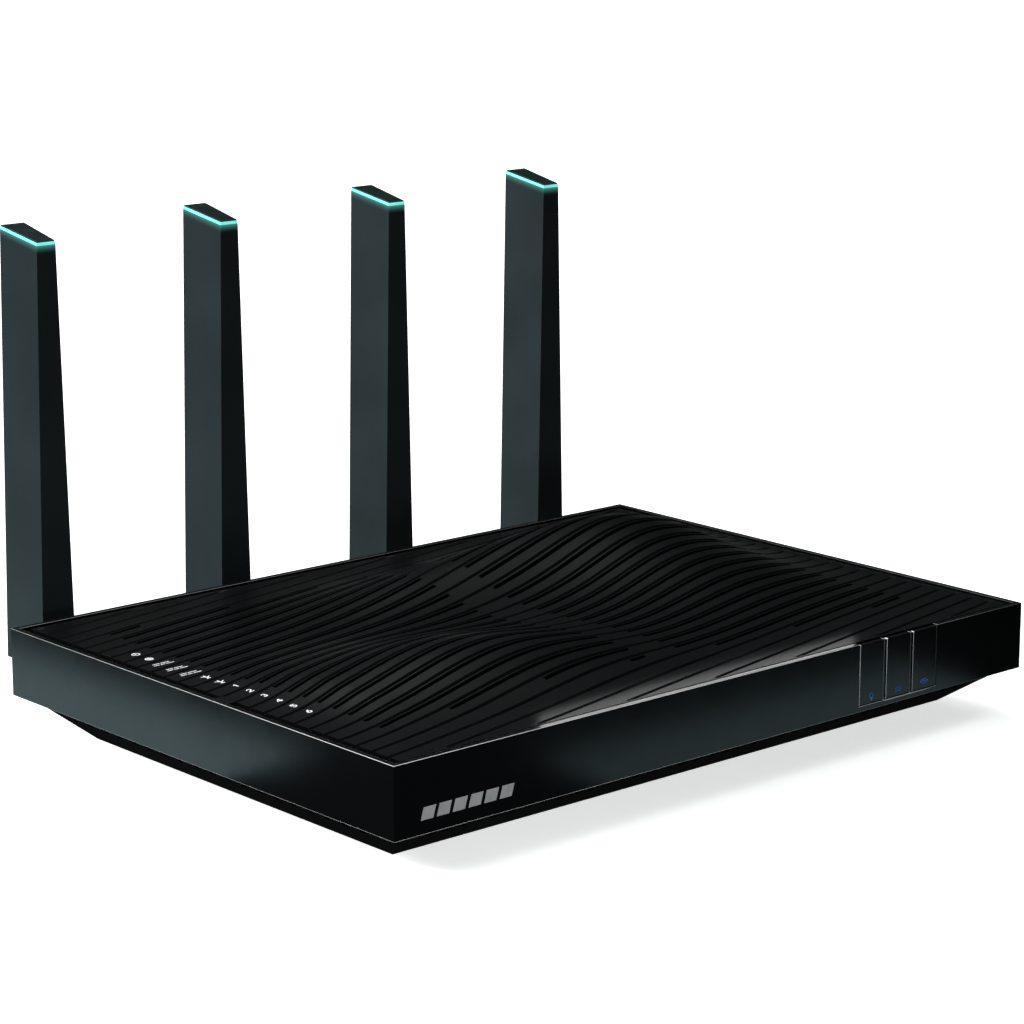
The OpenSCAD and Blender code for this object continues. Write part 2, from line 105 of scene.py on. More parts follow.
# An antenna's base, half its width at the front of it, how it flares to the rear, and its taper
ANTENNA_BASE_Z = node_box("antenna_shell_1")[0].z
ANTENNA_HALF_W, REAR_FLARE, SIDE_TAPER = 7.6, 0.0603, 0.0207
# Where the highlight painted on the rounded edges of the band and of the keys is brightest
BAND_BRIGHTEST = (BAND_LOW.x, FRONT_Y, TOP_Z)
KEYS_BRIGHTEST = ((KEYS_LOW.x + KEYS_HIGH.x) / 2 - 12, FRONT_Y, TOP_Z)


# Colours and node helpers

def linear(code):
    """An sRGB hex colour as the linear RGBA that the shaders take."""
    parts = [int(code[i:i + 2], 16) / 255 for i in (1, 3, 5)]
    return tuple(c / 12.92 if c <= 0.04045 else ((c + 0.055) / 1.055) ** 2.4 for c in parts) + (1.0,)


def shade(colour, factor):
    """The same colour, lighter or darker by a factor."""
    return tuple(c * factor for c in colour[:3]) + (1.0,)


def add(tree, kind, inputs=None, **settings):
    """Adds one node with its settings, and feeds its inputs from constants or other sockets."""
    node = tree.nodes.new("ShaderNode" + kind)
    for key, value in settings.items():
        setattr(node, key, value)
    for key, value in (inputs or {}).items():
        if isinstance(value, bpy.types.NodeSocket):
            tree.links.new(value, node.inputs[key])
        else:
            node.inputs[key].default_value = value
    return node


def blank(name, sockets):
    """A new material with constants on its shader's own sockets, and the place on the object."""
    material = bpy.data.materials.new(name)
    material.use_nodes = True
    tree = material.node_tree
    shader = tree.nodes["Principled BSDF"]
    for key, value in sockets.items():
        shader.inputs[key].default_value = value
    place = add(tree, "TexCoord").outputs["Object"]
    return material, tree, shader, place


def tone(tree, shader, factor, colour, low, high):
    """Drives the base colour between a darker and a lighter tone of one colour."""
    ramp = add(tree, "ValToRGB", {"Fac": factor})
    ramp.color_ramp.elements[0].position = 0.3
    ramp.color_ramp.elements[1].position = 0.7
    ramp.color_ramp.elements[0].color = shade(colour, low)
    ramp.color_ramp.elements[1].color = shade(colour, high)
    tree.links.new(ramp.outputs["Color"], shader.inputs["Base Color"])
    return ramp.outputs["Color"]


def spread(tree, shader, factor, low, high, socket="Roughness"):
    """Drives one number of the shader between two values."""
    span = add(tree, "MapRange", {"Value": factor, "From Min": 0.3, "From Max": 0.7,
                                  "To Min": low, "To Max": high})
    tree.links.new(span.outputs["Result"], shader.inputs[socket])


def raise_grain(tree, shader, height, depth_mm, strength=1.0):
    """Turns a 0 to 1 height into bump of a real depth."""
    bump = add(tree, "Bump", {"Height": height, "Distance": depth_mm * MM, "Strength": strength})
    tree.links.new(bump.outputs["Normal"], shader.inputs["Normal"])


def per_metre(size_mm):
    """Texture scale at which one feature is this wide."""
    return 1 / (size_mm * MM)


def moulded(name, colour, rough, grain_mm, depth_mm, sockets=None, patch_mm=40, low=0.86, high=1.14):
    """Moulded plastic: flow patches in its tone and gloss, and the mould's own grain."""
    values = {"Metallic": 0.0, "IOR": 1.52}
    values.update(sockets or {})
    material, tree, shader, place = blank(name, values)
    patch = add(tree, "TexNoise", {"Vector": place, "Scale": per_metre(patch_mm), "Detail": 3.0})
    tone(tree, shader, patch.outputs["Fac"], colour, low, high)
    grain = add(tree, "TexNoise", {"Vector": place, "Scale": per_metre(grain_mm), "Detail": 2.0})
    spread(tree, shader, grain.outputs["Fac"], rough * 0.9, rough * 1.1)
    raise_grain(tree, shader, grain.outputs["Fac"], depth_mm)
    return material


# Materials, each named for what the real one is and how it was made

def etched_black_abs(colour):
    # ABS from an etched mould: a wide dull sheen, and a fine even grain that shows in grazing light.
    # The real grain is about 0.1 mm, drawn at 0.9 mm so that it shows in the render.
    return moulded("etched_black_abs", colour, 0.36, 0.9, 0.02, {"Specular IOR Level": 0.16})


def paint_edge_glint(tree, shader, place, axis, start, reach_mm, level):
    """Painted highlight on the rounded edges that lean towards one axis: a paler colour and a glow, fainter
    far from a place.
    """
    lean = add(tree, "SeparateXYZ", {"Vector": add(tree, "NewGeometry").outputs["Normal"]}).outputs[axis]
    lean = add(tree, "Math", {0: lean}, operation="ABSOLUTE").outputs[0]
    # 1 in the middle of the rounded edge, and 0 on the flat faces at both sides of it
    start_side = add(tree, "MapRange", {"Value": lean, "From Min": 0.12, "From Max": 0.4}).outputs["Result"]
    end_side = add(tree, "MapRange", {"Value": lean, "From Min": 0.98, "From Max": 0.85}).outputs["Result"]
    edge = add(tree, "Math", {0: start_side, 1: end_side}, operation="MULTIPLY").outputs[0]
    away = add(tree, "VectorMath", {0: place, 1: [v * MM for v in start]}, operation="DISTANCE")
    near = add(tree, "MapRange", {"Value": away.outputs["Value"], "From Min": 0.0, "From Max": reach_mm * MM,
                                  "To Min": 1.0, "To Max": 0.06}).outputs["Result"]
    # Painted highlight: a pale colour and a glow where the edge mask is high, fainter far from the place
    painted_glint = add(tree, "Math", {0: edge, 1: near}, operation="MULTIPLY").outputs[0]
    painted_glint_colour = add(tree, "Mix", {0: painted_glint, 7: linear("#f2f6f6")}, data_type="RGBA")
    tree.links.new(shader.inputs["Base Color"].links[0].from_socket, painted_glint_colour.inputs[6])
    tree.links.new(painted_glint_colour.outputs[2], shader.inputs["Base Color"])
    painted_glint_glow = add(tree, "Math", {0: painted_glint, 1: level}, operation="MULTIPLY").outputs[0]
    shader.inputs["Emission Color"].default_value = linear("#eef4f4")
    tree.links.new(painted_glint_glow, shader.inputs["Emission Strength"])


def polished_black_abs(name, colour, axis, start, reach_mm, level):
    # ABS from a polished mould: clear soft reflections, with the faint orange peel of a thick wall,
    # and a painted highlight along its rounded edges: a thin pale glowing line.
    material, tree, shader, place = blank(name, {"IOR": 1.52, "Specular IOR Level": 0.5})
    patch = add(tree, "TexNoise", {"Vector": place, "Scale": per_metre(60), "Detail": 2.0})
    tone(tree, shader, patch.outputs["Fac"], colour, 0.9, 1.1)
    # Painted highlight: a pale glowing line on the rounded edges
    paint_edge_glint(tree, shader, place, axis, start, reach_mm, level)
    # Wiping marks and dust dull the gloss in streaks about 12 mm wide
    haze = add(tree, "TexNoise", {"Vector": place, "Scale": per_metre(12), "Detail": 5.0,
                                  "Roughness": 0.62})
    spread(tree, shader, haze.outputs["Fac"], 0.2, 0.26)
    peel = add(tree, "TexNoise", {"Vector": place, "Scale": per_metre(5), "Detail": 1.0})
    raise_grain(tree, shader, peel.outputs["Fac"], 0.02)
    return material


def spark_textured_abs(colour):
    # ABS from a spark-eroded mould: matt, with a coarse grain of 0.8 mm that breaks up every highlight.
    return moulded("spark_textured_abs", colour, 0.62, 0.8, 0.06, {"Specular IOR Level": 0.35},
                   low=0.8, high=1.2)


def spark_textured_panel(colour):
    # The rear panel's ABS has the same matt spark texture as the tray, a little finer at 0.6 mm.
    return moulded("spark_textured_panel", colour, 0.58, 0.6, 0.04, {"Specular IOR Level": 0.35})


def satin_antenna_abs(colour, glow):
    # Satin ABS in slate grey. Below the tip a teal glow is painted on the wall, fading over about 3 mm, for
    # the light of the ring bleeding down through it.
    material = moulded("satin_antenna_abs", colour, 0.46, 0.9, 0.02, {"Specular IOR Level": 0.32})
    tree = material.node_tree
    shader = tree.nodes["Principled BSDF"]
    place = add(tree, "TexCoord").outputs["Object"]
    axes = add(tree, "SeparateXYZ", {"Vector": place})
    # Height below the slanted tip, in metres
    start = (TIP_HIGH.z - TIP_SLOPE * TIP_HIGH.y) * MM
    rise = add(tree, "Math", {0: axes.outputs["Y"], 1: TIP_SLOPE, 2: start}, operation="MULTIPLY_ADD")
    below = add(tree, "Math", {0: rise.outputs[0], 1: axes.outputs["Z"]}, operation="SUBTRACT")
    near = add(tree, "MapRange", {"Value": below.outputs[0], "From Min": 1.2 * MM, "From Max": 5 * MM,
                                  "To Min": 1.0, "To Max": 0.0})
    soft = add(tree, "Math", {0: near.outputs["Result"], 1: 2.4}, operation="POWER")
    # Painted glow: teal emission that fades over about 3 mm below the tip
    painted_ring_glow = add(tree, "Mix", {0: soft.outputs[0], 6: (0, 0, 0, 1), 7: shade(glow, 0.42)}, data_type="RGBA")
    tree.links.new(painted_ring_glow.outputs[2], shader.inputs["Emission Color"])
    shader.inputs["Emission Strength"].default_value = 1.0
    return material


def lit_teal_acrylic(glow):
    # Translucent acrylic lit from below: an even glow with a slightly brighter core here and there.
    material, tree, shader, place = blank("lit_teal_acrylic", {
        "IOR": 1.49, "Roughness": 0.3, "Emission Strength": 1.05})
    core = add(tree, "TexNoise", {"Vector": place, "Scale": per_metre(7), "Detail": 1.0})
    colour = tone(tree, shader, core.outputs["Fac"], glow, 0.85, 1.1)
    tree.links.new(colour, shader.inputs["Emission Color"])
    return material


def polished_cap_abs(colour, glow):
    # Gloss black ABS, with a faint teal glow painted on it for the light of the ring around it.
    material, tree, shader, place = blank("polished_cap_abs", {
        "IOR": 1.52, "Emission Color": shade(glow, 0.015), "Emission Strength": 1.0})
    haze = add(tree, "TexNoise", {"Vector": place, "Scale": per_metre(6), "Detail": 4.0})
    tone(tree, shader, haze.outputs["Fac"], colour, 0.85, 1.15)
    spread(tree, shader, haze.outputs["Fac"], 0.22, 0.3)
    return material


def moulded_rubber(colour):
    # Moulded rubber: deep and dull, with a chalky bloom in patches of a few millimetres.
    return moulded("moulded_rubber", colour, 0.85, 0.7, 0.05, {"Specular IOR Level": 0.25},
                   patch_mm=5, low=0.7, high=1.4)


def metal(name, colour, rough, streak, depth_mm, patch_mm=6, low=0.85, high=1.1):
    """Worked metal: tool or rolling marks drawn out by a stretch of the place, and patches of dullness."""
    material, tree, shader, place = blank(name, {"Metallic": 1.0})
    patch = add(tree, "TexNoise", {"Vector": place, "Scale": per_metre(patch_mm), "Detail": 4.0})
    tone(tree, shader, patch.outputs["Fac"], colour, low, high)
    drawn = add(tree, "Mapping", {"Vector": place, "Scale": streak})
    marks = add(tree, "TexNoise", {"Vector": drawn.outputs["Vector"], "Scale": per_metre(1), "Detail": 3.0})
    spread(tree, shader, marks.outputs["Fac"], rough * 0.8, rough * 1.25)
    raise_grain(tree, shader, marks.outputs["Fac"], depth_mm)
    return material


def zinc_plated_steel(colour):
    # Bright zinc on turned steel: a cool grey with fine rings and a slight yellow-white mottle.
    return metal("zinc_plated_steel", colour, 0.32, (2.0, 2.0, 3.0), 0.01)


def nickel_plated_steel(colour):
    # Nickel on drawn sheet steel: warm grey, with draw lines along the depth of the shell.
    return metal("nickel_plated_steel", colour, 0.24, (3.0, 0.3, 3.0), 0.006)


def tin_plated_steel(colour):
    # Tin on rolled sheet: soft reflections and a frosty crystal mottle about 4 mm across.
    return metal("tin_plated_steel", colour, 0.36, (1.2, 0.5, 1.2), 0.008, patch_mm=4, low=0.8)


def extruded_aluminium(colour):
    # Extruded aluminium: die lines that run along the fins, from front to rear.
    return metal("extruded_aluminium", colour, 0.38, (4.0, 0.08, 4.0), 0.02, patch_mm=14)


def gold_plated_bronze(colour):
    # Gold flash on spring bronze: warm, bright, and slightly worn in patches.
    return metal("gold_plated_bronze", colour, 0.22, (1.5, 1.5, 1.5), 0.003, patch_mm=2, low=0.75)


def solder_masked_laminate(colour, copper):
    # Green solder mask over glass laminate: gloss, with paler tracks 0.8 mm wide on a 3.2 mm grid under it.
    material, tree, shader, place = blank("solder_masked_laminate", {"IOR": 1.5, "Coat Weight": 0.4})
    tracks = add(tree, "TexBrick", {"Vector": place, "Scale": per_metre(12.8), "Mortar Size": 0.03,
                                    "Brick Width": 1.0, "Row Height": 0.25, "Mortar Smooth": 0.2,
                                    "Color1": colour, "Color2": shade(colour, 1.25), "Mortar": copper})
    tree.links.new(tracks.outputs["Color"], shader.inputs["Base Color"])
    weave = add(tree, "TexNoise", {"Vector": place, "Scale": per_metre(1.5), "Detail": 2.0})
    spread(tree, shader, weave.outputs["Fac"], 0.28, 0.4)
    raise_grain(tree, shader, tracks.outputs["Fac"], 0.05, 0.6)
    return material


def moulded_epoxy(colour):
    # Glass-filled epoxy of a chip's body: matt charcoal with a sandy fleck.
    return moulded("moulded_epoxy", colour, 0.58, 0.6, 0.02, patch_mm=3, low=0.8, high=1.25)


def soft_silicone(colour):
    # Filled silicone pad: soft, pale and slightly waxy.
    return moulded("soft_silicone", colour, 0.55, 1.2, 0.03,
                   {"Subsurface Weight": 0.15, "Subsurface Scale": 0.002})


def clear_acrylic(colour):
    # Moulded acrylic light guide: clear with a frosted skin.
    return moulded("clear_acrylic", colour, 0.16, 2.0, 0.01, {"IOR": 1.49, "Transmission Weight": 0.8},
                   low=0.95, high=1.0)


def diffusing_lens(colour):
    # White epoxy over a light-emitting chip: milky and faintly lit.
    return moulded("diffusing_lens", colour, 0.4, 0.8, 0.01, {
        "Subsurface Weight": 0.3, "Subsurface Scale": 0.001,
        "Emission Color": colour, "Emission Strength": 0.15})


def extruded_jacket(colour):
    # Fluoropolymer jacket of a thin coaxial lead: smooth black with faint drawing lines.
    return moulded("extruded_jacket", colour, 0.34, 1.0, 0.01, {"IOR": 1.38})


def moulded_polyester(name, colour):
    # Glass-filled polyester of a socket's housing: slightly shiny, with a faint fibre grain.
    return moulded(name, colour, 0.42, 0.7, 0.02, patch_mm=8)


def printed_ink(name, colour, glow=0.0):
    # Pad-printed ink: a thin even film, dull, with pinholes where the grain below breaks it. Its glow is
    # painted light, which makes the marks show bright whatever light falls on them.
    return moulded(name, colour, 0.55, 0.5, 0.01, {"Emission Color": colour, "Emission Strength": glow},
                   patch_mm=3, low=0.88, high=1.06)


def hot_stamped_silver(colour):
    # Hot-stamped silver foil under a clear lacquer: an even pale grey with a satin glint.
    return moulded("hot_stamped_silver", colour, 0.42, 0.6, 0.01, {"Metallic": 0.25},
                   patch_mm=6, low=0.9, high=1.08)


# Mesh helpers. Shapes are worked out in millimetres and stored in metres.

def make_piece(name, verts, faces, body, look, slot, replaces=(), sharp_deg=30):
    """A closed mesh piece that rides on a body, with its normals outward and its finish."""
    mesh = bpy.data.meshes.new(name)
    mesh.from_pydata([Vector(v) * MM for v in verts], [], faces)
    work = bmesh.new()
    work.from_mesh(mesh)
    bmesh.ops.remove_doubles(work, verts=work.verts, dist=0.0005 * MM)
    bmesh.ops.recalc_face_normals(work, faces=work.faces)
    work.to_mesh(mesh)
    work.free()
    mesh.shade_smooth()
    mesh.set_sharp_from_angle(angle=math.radians(sharp_deg))
    obj = bpy.data.objects.new(name, mesh)
    bpy.context.scene.collection.objects.link(obj)
    obj.data.materials.append(finish(look))
    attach(obj, body)
    if replaces:
        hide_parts(*replaces)
    return obj


def round_edges(obj, radius_mm, segments=2, angle_deg=35):
    """Rounds the edges of a piece or of a CAD node, as moulding, folding or machining leaves them."""
    if "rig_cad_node" in obj:
        weld = obj.modifiers.new("join corners", "WELD")
        weld.merge_threshold = 0.005 * MM
    bevel = obj.modifiers.new("rounded edges", "BEVEL")
    bevel.width = radius_mm * MM
    bevel.segments = segments
    bevel.limit_method = "ANGLE"
    bevel.angle_limit = math.radians(angle_deg)
    bevel.harden_normals = True
    bevel.miter_outer = "MITER_ARC"
    return obj


def dress(name, look, radius_mm=0.0, segments=2):
    """Gives a CAD node its finish and its rounded edges."""
    obj = frame["nodes"][name]
    obj.material_slots[0].material = finish(look)
    if radius_mm:
        round_edges(obj, radius_mm, segments)
    return obj


def box(x, y, z, width, depth, height):
    """Box from its middle in X, its low Y and its low Z, as its sides in X, Y and Z."""
    return (x - width / 2, x + width / 2, y, y + depth, z, z + height)


def carve(steps):
    """Verts and faces of a solid made of boxes that are added (+1) and cut (-1) in turn."""
    axes = [sorted({round(b[2 * a + s], 4) for _, b in steps for s in (0, 1)}) for a in range(3)]
    full = np.zeros([len(a) + 1 for a in axes], bool)
    for sign, b in steps:
        ends = [[axes[a].index(round(b[2 * a + s], 4)) + 1 for s in (0, 1)] for a in range(3)]
        span = [slice(*pair) for pair in ends]
        full[span[0], span[1], span[2]] = sign > 0
    verts, index, faces = [], {}, []

    def corner(i, j, k):
        if (i, j, k) not in index:
            index[i, j, k] = len(verts)
            verts.append((axes[0][i], axes[1][j], axes[2][k]))
        return index[i, j, k]

    for a in range(3):
        b, c = (a + 1) % 3, (a + 2) % 3
        low = np.take(full, range(full.shape[a] - 1), a)
        high = np.take(full, range(1, full.shape[a]), a)
        for cell in np.argwhere(low != high):
            base = [0, 0, 0]
            base[a], base[b], base[c] = cell[a], cell[b] - 1, cell[c] - 1
            ring = []
            for db, dc in ((0, 0), (1, 0), (1, 1), (0, 1)):
                spot = list(base)
                spot[b] += db
                spot[c] += dc
                ring.append(corner(*spot))
            faces.append(ring if low[tuple(cell)] else ring[::-1])
    return verts, faces


def prism(ring, low, high, place):
    """Closed prism over a ring of flat points, between two heights, set in space by place(u, v, w)."""
    count = len(ring)
    verts = [place(u, v, w) for w in (low, high) for u, v in ring]
    sides = [(i, (i + 1) % count, count + (i + 1) % count, count + i) for i in range(count)]
    return verts, [tuple(range(count))[::-1], tuple(range(count, 2 * count))] + sides


def ribbon(points, width, low, high, place):
    """Stroke of one width along flat points, between two heights, as a closed prism for each stretch."""
    verts, faces = [], []
    for (u0, v0), (u1, v1) in zip(points, points[1:]):
        length = math.hypot(u1 - u0, v1 - v0)
        du, dv = (u1 - u0) / length * width / 2, (v1 - v0) / length * width / 2
        ring = [(u0 - du * 0.6 + dv, v0 - dv * 0.6 - du), (u1 + du * 0.6 + dv, v1 + dv * 0.6 - du),
                (u1 + du * 0.6 - dv, v1 + dv * 0.6 + du), (u0 - du * 0.6 - dv, v0 - dv * 0.6 + du)]
        merge(verts, faces, prism(ring, low, high, place))
    return verts, faces


def arc(u, v, radius, start_deg, end_deg, steps=14):
    """Points along an arc, from one angle to another."""
    turn = [math.radians(start_deg + (end_deg - start_deg) * i / steps) for i in range(steps + 1)]
    return [(u + radius * math.cos(t), v + radius * math.sin(t)) for t in turn]


def merge(verts, faces, more):
    """Adds one mesh's verts and faces to another's."""
    shift = len(verts)
    verts.extend(more[0])
    faces.extend([[i + shift for i in face] for face in more[1]])


def lathe(profile, centre, axis, steps=48):
    """Closed solid turned from (radius, along) points about X, Y or Z through a centre."""
    verts, faces = [], []
    for radius, along in profile:
        for i in range(steps):
            turn = 2 * math.pi * i / steps
            flat = [radius * math.cos(turn), radius * math.sin(turn)]
            spot = [0, 0, 0]
            spot[axis] = along
            spot[(axis + 1) % 3], spot[(axis + 2) % 3] = flat
            verts.append(tuple(centre[a] + spot[a] for a in range(3)))
    for r in range(len(profile) - 1):
        for i in range(steps):
            j = (i + 1) % steps
            faces.append((r * steps + i, r * steps + j, (r + 1) * steps + j, (r + 1) * steps + i))
    faces.append(tuple(range(steps))[::-1])
    faces.append(tuple(range((len(profile) - 1) * steps, len(profile) * steps)))
    return verts, faces


# The waved top, as the CAD cover has it: its flat rim, the stretch over which a hill fades, its thickness

FLAT_W, FADE_W, COVER_T = 1.5, 35, 2.0
# Each hill: height, middle from the body's middle, radii, turn in degrees
HILLS = (
    (11, (-66, -42), (62, 39), -15),
    (14.2, (52, 51), (81, 26), 0),
    (10.4, (90, 13), (43, 56), -28),
)


def smooth(t):
    t = min(1, max(0, t))
    return t * t * (3 - 2 * t)


def wave(x, y):
    """Height of the top over its rim, at a place in the part's frame, in millimetres."""
    y -= COVER_Y
    fade = smooth((COVER_HALF_W - FLAT_W - abs(x)) / FADE_W)
    fade *= smooth((COVER_HALF_D - FLAT_W - abs(y)) / FADE_W)
    if fade == 0:
        return 0.0
    rise = 0
    for height, (mx, my), (rx, ry), turn in HILLS:
        c, s = math.cos(math.radians(turn)), math.sin(math.radians(turn))
        u = ((x - mx) * c + (y - my) * s) / rx
        v = ((y - my) * c - (x - mx) * s) / ry
        rise += height * math.exp(-u * u - v * v)
    return fade * rise


# Grooves and vent slots of the top. A groove's line is y = first + pitch k + slant (x - left).
GROOVE_PITCH = 8.44
GROOVE_SLANT = 0.198
GROOVE_LEFT = BAND_LOW.x + 6
GROOVE_FIRST = BAND_LOW.y + 10
# A slot's line, from the groove's line
SLOT_SHIFT = -2.35
# Vent blocks, as their sides in X, and the sides in Y that both have
BLOCKS_X = ((BAND_LOW.x + 24, -11), (8, BAND_HIGH.x - 28))
BLOCKS_Y = (BAND_LOW.y + 34, BAND_LOW.y + 200)
# Width of the lip around the slab, and how far its top lies below the slab's rim
LIP_W, LIP_DROP = 1.0, 1.1
# The ribbed slab's own sides: a wide gutter at the left, and a hairline gap at the others
SLAB_X = (BAND_LOW.x + 6.2, BAND_HIGH.x - 4.2)
SLAB_Y = (BAND_LOW.y + 4.3, BAND_HIGH.y - 4.3)
# Plain border, in which no groove runs
PLAIN_W = {"right": 1.5, "front": 1.2, "rear": 1.0}
# Length over which a groove runs out to nothing
GROOVE_END_W = 0.8


def groove_y(x, k, offset=0.0):
    return GROOVE_FIRST + GROOVE_PITCH * k + GROOVE_SLANT * (x - GROOVE_LEFT) + offset


def groove_fade(x, y):
    """1 where the grooves run, 0 in the plain border."""
    right, front, rear = SLAB_X[1] - x, y - SLAB_Y[0], SLAB_Y[1] - y
    room = min(right - PLAIN_W["right"], front - PLAIN_W["front"], rear - PLAIN_W["rear"])
    return min(1, max(0, room / GROOVE_END_W))


def ribbed_top(sizes):
    """Verts and faces of the waved slab with its grooves, and slots that go right through it."""
    groove, slot, depth = sizes.groove_width / MM, sizes.slot_width / MM, sizes.groove_depth / MM
    cols = set(np.linspace(*SLAB_X, 119).round(3))
    for x0, x1 in BLOCKS_X:
        cols = {x for x in cols if min(abs(x - x0), abs(x - x1)) > 0.8} | {x0, x1}
    cols = sorted(cols)
    # Rows across one pitch: offset from the groove's line, and how deep the row lies
    rows_in_pitch = [(SLOT_SHIFT - slot / 2, 0), (SLOT_SHIFT + slot / 2, 0),
                     (-groove / 2, 0), (-groove / 5, 1), (groove / 5, 1), (groove / 2, 0), (1.9, 0), (3.4, 0)]
    rows = [(k, offset, low) for k in range(-10, 30) for offset, low in rows_in_pitch]
    verts, grid = [], {}
    for side in (0, 1):
        for r, (k, offset, low) in enumerate(rows):
            for c, x in enumerate(cols):
                y = groove_y(x, k, offset)
                inside = min(SLAB_Y[1], max(SLAB_Y[0], y))
                z = RIM_Z + wave(x, inside) - side * COVER_T
                if side == 0 and low:
                    z -= depth * groove_fade(x, inside)
                grid[side, r, c] = len(verts)
                verts.append((x, inside, z))

    def open_cell(r, c):
        if not (0 <= r < len(rows) - 1 and 0 <= c < len(cols) - 1):
            return True
        if rows[r][1] != rows_in_pitch[0][0]:
            return False
        x = (cols[c] + cols[c + 1]) / 2
        y = groove_y(x, rows[r][0], SLOT_SHIFT)
        return any(x0 < x < x1 for x0, x1 in BLOCKS_X) and BLOCKS_Y[0] < y < BLOCKS_Y[1]

    faces = []
    for r in range(len(rows) - 1):
        for c in range(len(cols) - 1):
            if open_cell(r, c):
                continue
            corners = [(r, c), (r, c + 1), (r + 1, c + 1), (r + 1, c)]
            faces.append([grid[0, *p] for p in corners])
            faces.append([grid[1, *p] for p in corners[::-1]])
            beside = [(r - 1, c), (r, c + 1), (r + 1, c), (r, c - 1)]
            for i, near in enumerate(beside):
                if open_cell(*near):
                    p, q = corners[i], corners[(i + 1) % 4]
                    faces.append([grid[0, *q], grid[0, *p], grid[1, *p], grid[1, *q]])
    return verts, faces


# Sizes and colours that a user would change

def length_property(name, description, size_mm, low_mm, high_mm):
    """A length with its default and its range given in millimetres."""
    return FloatProperty(name=name, description=description, default=size_mm * MM, min=low_mm * MM,
                         max=high_mm * MM, unit="LENGTH")


def colour_property(name, description, code):
    """A colour with its default given in sRGB hex."""
    return FloatVectorProperty(name=name, description=description, default=linear(code), size=4,
                               min=0, max=1, subtype="COLOR")


class RouterSizes(bpy.types.PropertyGroup):
    """Driving sizes of the looks"""
    groove_width: length_property("Groove width", "Width of a groove in the top", 1.8, 0.6, 2)
    groove_depth: length_property("Groove depth", "Depth of a groove in the top", 0.9, 0.3, 1.5)
    slot_width: length_property("Slot width", "Width of a vent slot in the top", 1.9, 0.8, 2.2)
    band_edge: length_property("Band edge", "Radius of the side band's edges", 0.5, 0.2, 1)
    antenna_edge: length_property("Antenna edge", "Radius of an antenna's edges", 0.7, 0.3, 1.5)
    mark_width: length_property("Mark width", "Stroke width of the printed marks", 0.42, 0.3, 1)


class RouterColours(bpy.types.PropertyGroup):
    """Colours of the finishes"""
    cover: colour_property("Cover", "Etched plastic of the ribbed top", "#080b0c")
    band: colour_property("Band", "Polished plastic of the side band and keys", "#090b0c")
    tray: colour_property("Tray", "Spark-textured plastic of the vented tray", "#101112")
    panel: colour_property("Rear panel", "Plastic of the rear panel and hinge brackets", "#121415")
    antenna: colour_property("Antenna", "Satin plastic of the antennas", "#293133")
    glow: colour_property("Glow", "Light in the antennas' tips", "#74e2d9")
    marks: colour_property("Marks", "Ink of the marks along the top", "#e8ecec")
    key_marks: colour_property("Key marks", "Ink of the marks on the front keys", "#4a86c8")
    badge: colour_property("Badge", "Foil of the badge on the front", "#b4b9b9")
    wide_network: colour_property("Internet socket", "Insert of the internet socket", "#c9a21e")
    tongue: colour_property("USB tongue", "Tongue of the USB sockets", "#2060c0")
    board: colour_property("Board", "Solder mask of the circuit boards", "#174a33")


# How each finish is made from the colours; a piece asks for its finish by name
RECIPES = {
    "cover": lambda c: etched_black_abs(c.cover),
    # The band and the keys carry a highlight painted on their rounded edges
    "band": lambda c: polished_black_abs("polished_black_abs", c.band, "Z", BAND_BRIGHTEST, 310, 0.45),
    "keys": lambda c: polished_black_abs("polished_key_abs", c.band, "X", KEYS_BRIGHTEST, 52, 0.1),
    "tray": lambda c: spark_textured_abs(c.tray),
    "panel": lambda c: spark_textured_panel(c.panel),
    "antenna": lambda c: satin_antenna_abs(c.antenna, c.glow),
    "ring": lambda c: lit_teal_acrylic(c.glow),
    "cap": lambda c: polished_cap_abs(linear("#0a0c0d"), c.glow),
    "rubber": lambda c: moulded_rubber(linear("#121212")),
    "black socket": lambda c: moulded_polyester("moulded_polyester_black", linear("#17191a")),
    "yellow socket": lambda c: moulded_polyester("moulded_polyester_yellow", c.wide_network),
    "blue tongue": lambda c: moulded_polyester("moulded_polyester_blue", c.tongue),
    "red button": lambda c: moulded_polyester("moulded_polyester_red", linear("#a52a22")),
    "nickel": lambda c: nickel_plated_steel(linear("#b9b6b0")),
    "zinc": lambda c: zinc_plated_steel(linear("#aeb2b6")),
    "tin": lambda c: tin_plated_steel(linear("#c3c5c6")),
    "aluminium": lambda c: extruded_aluminium(linear("#c4c7ca")),
    "gold": lambda c: gold_plated_bronze(linear("#d8b25a")),
    "board": lambda c: solder_masked_laminate(c.board, linear("#2f7a52")),
    "epoxy": lambda c: moulded_epoxy(linear("#2a2c2e")),
    "silicone": lambda c: soft_silicone(linear("#93a6b4")),
    "acrylic": lambda c: clear_acrylic(linear("#e6eef2")),
    "lens": lambda c: diffusing_lens(linear("#d8e4da")),
    "jacket": lambda c: extruded_jacket(linear("#141414")),
    # The glow given to the inks is painted light
    "white ink": lambda c: printed_ink("printed_white_ink", c.marks, 0.35),
    "blue ink": lambda c: printed_ink("printed_blue_ink", c.key_marks, 0.1),
    "foil": lambda c: hot_stamped_silver(c.badge),
}
FINISHES = {}


def finish(key):
    """Each finish is made once, and shared by the pieces that have it."""
    if key not in FINISHES:
        FINISHES[key] = RECIPES[key](bpy.context.scene.router_colours)
    return FINISHES[key]


class PieceOperator:
    """Shared options of the operators that build the pieces"""
    bl_options = {"REGISTER", "UNDO"}


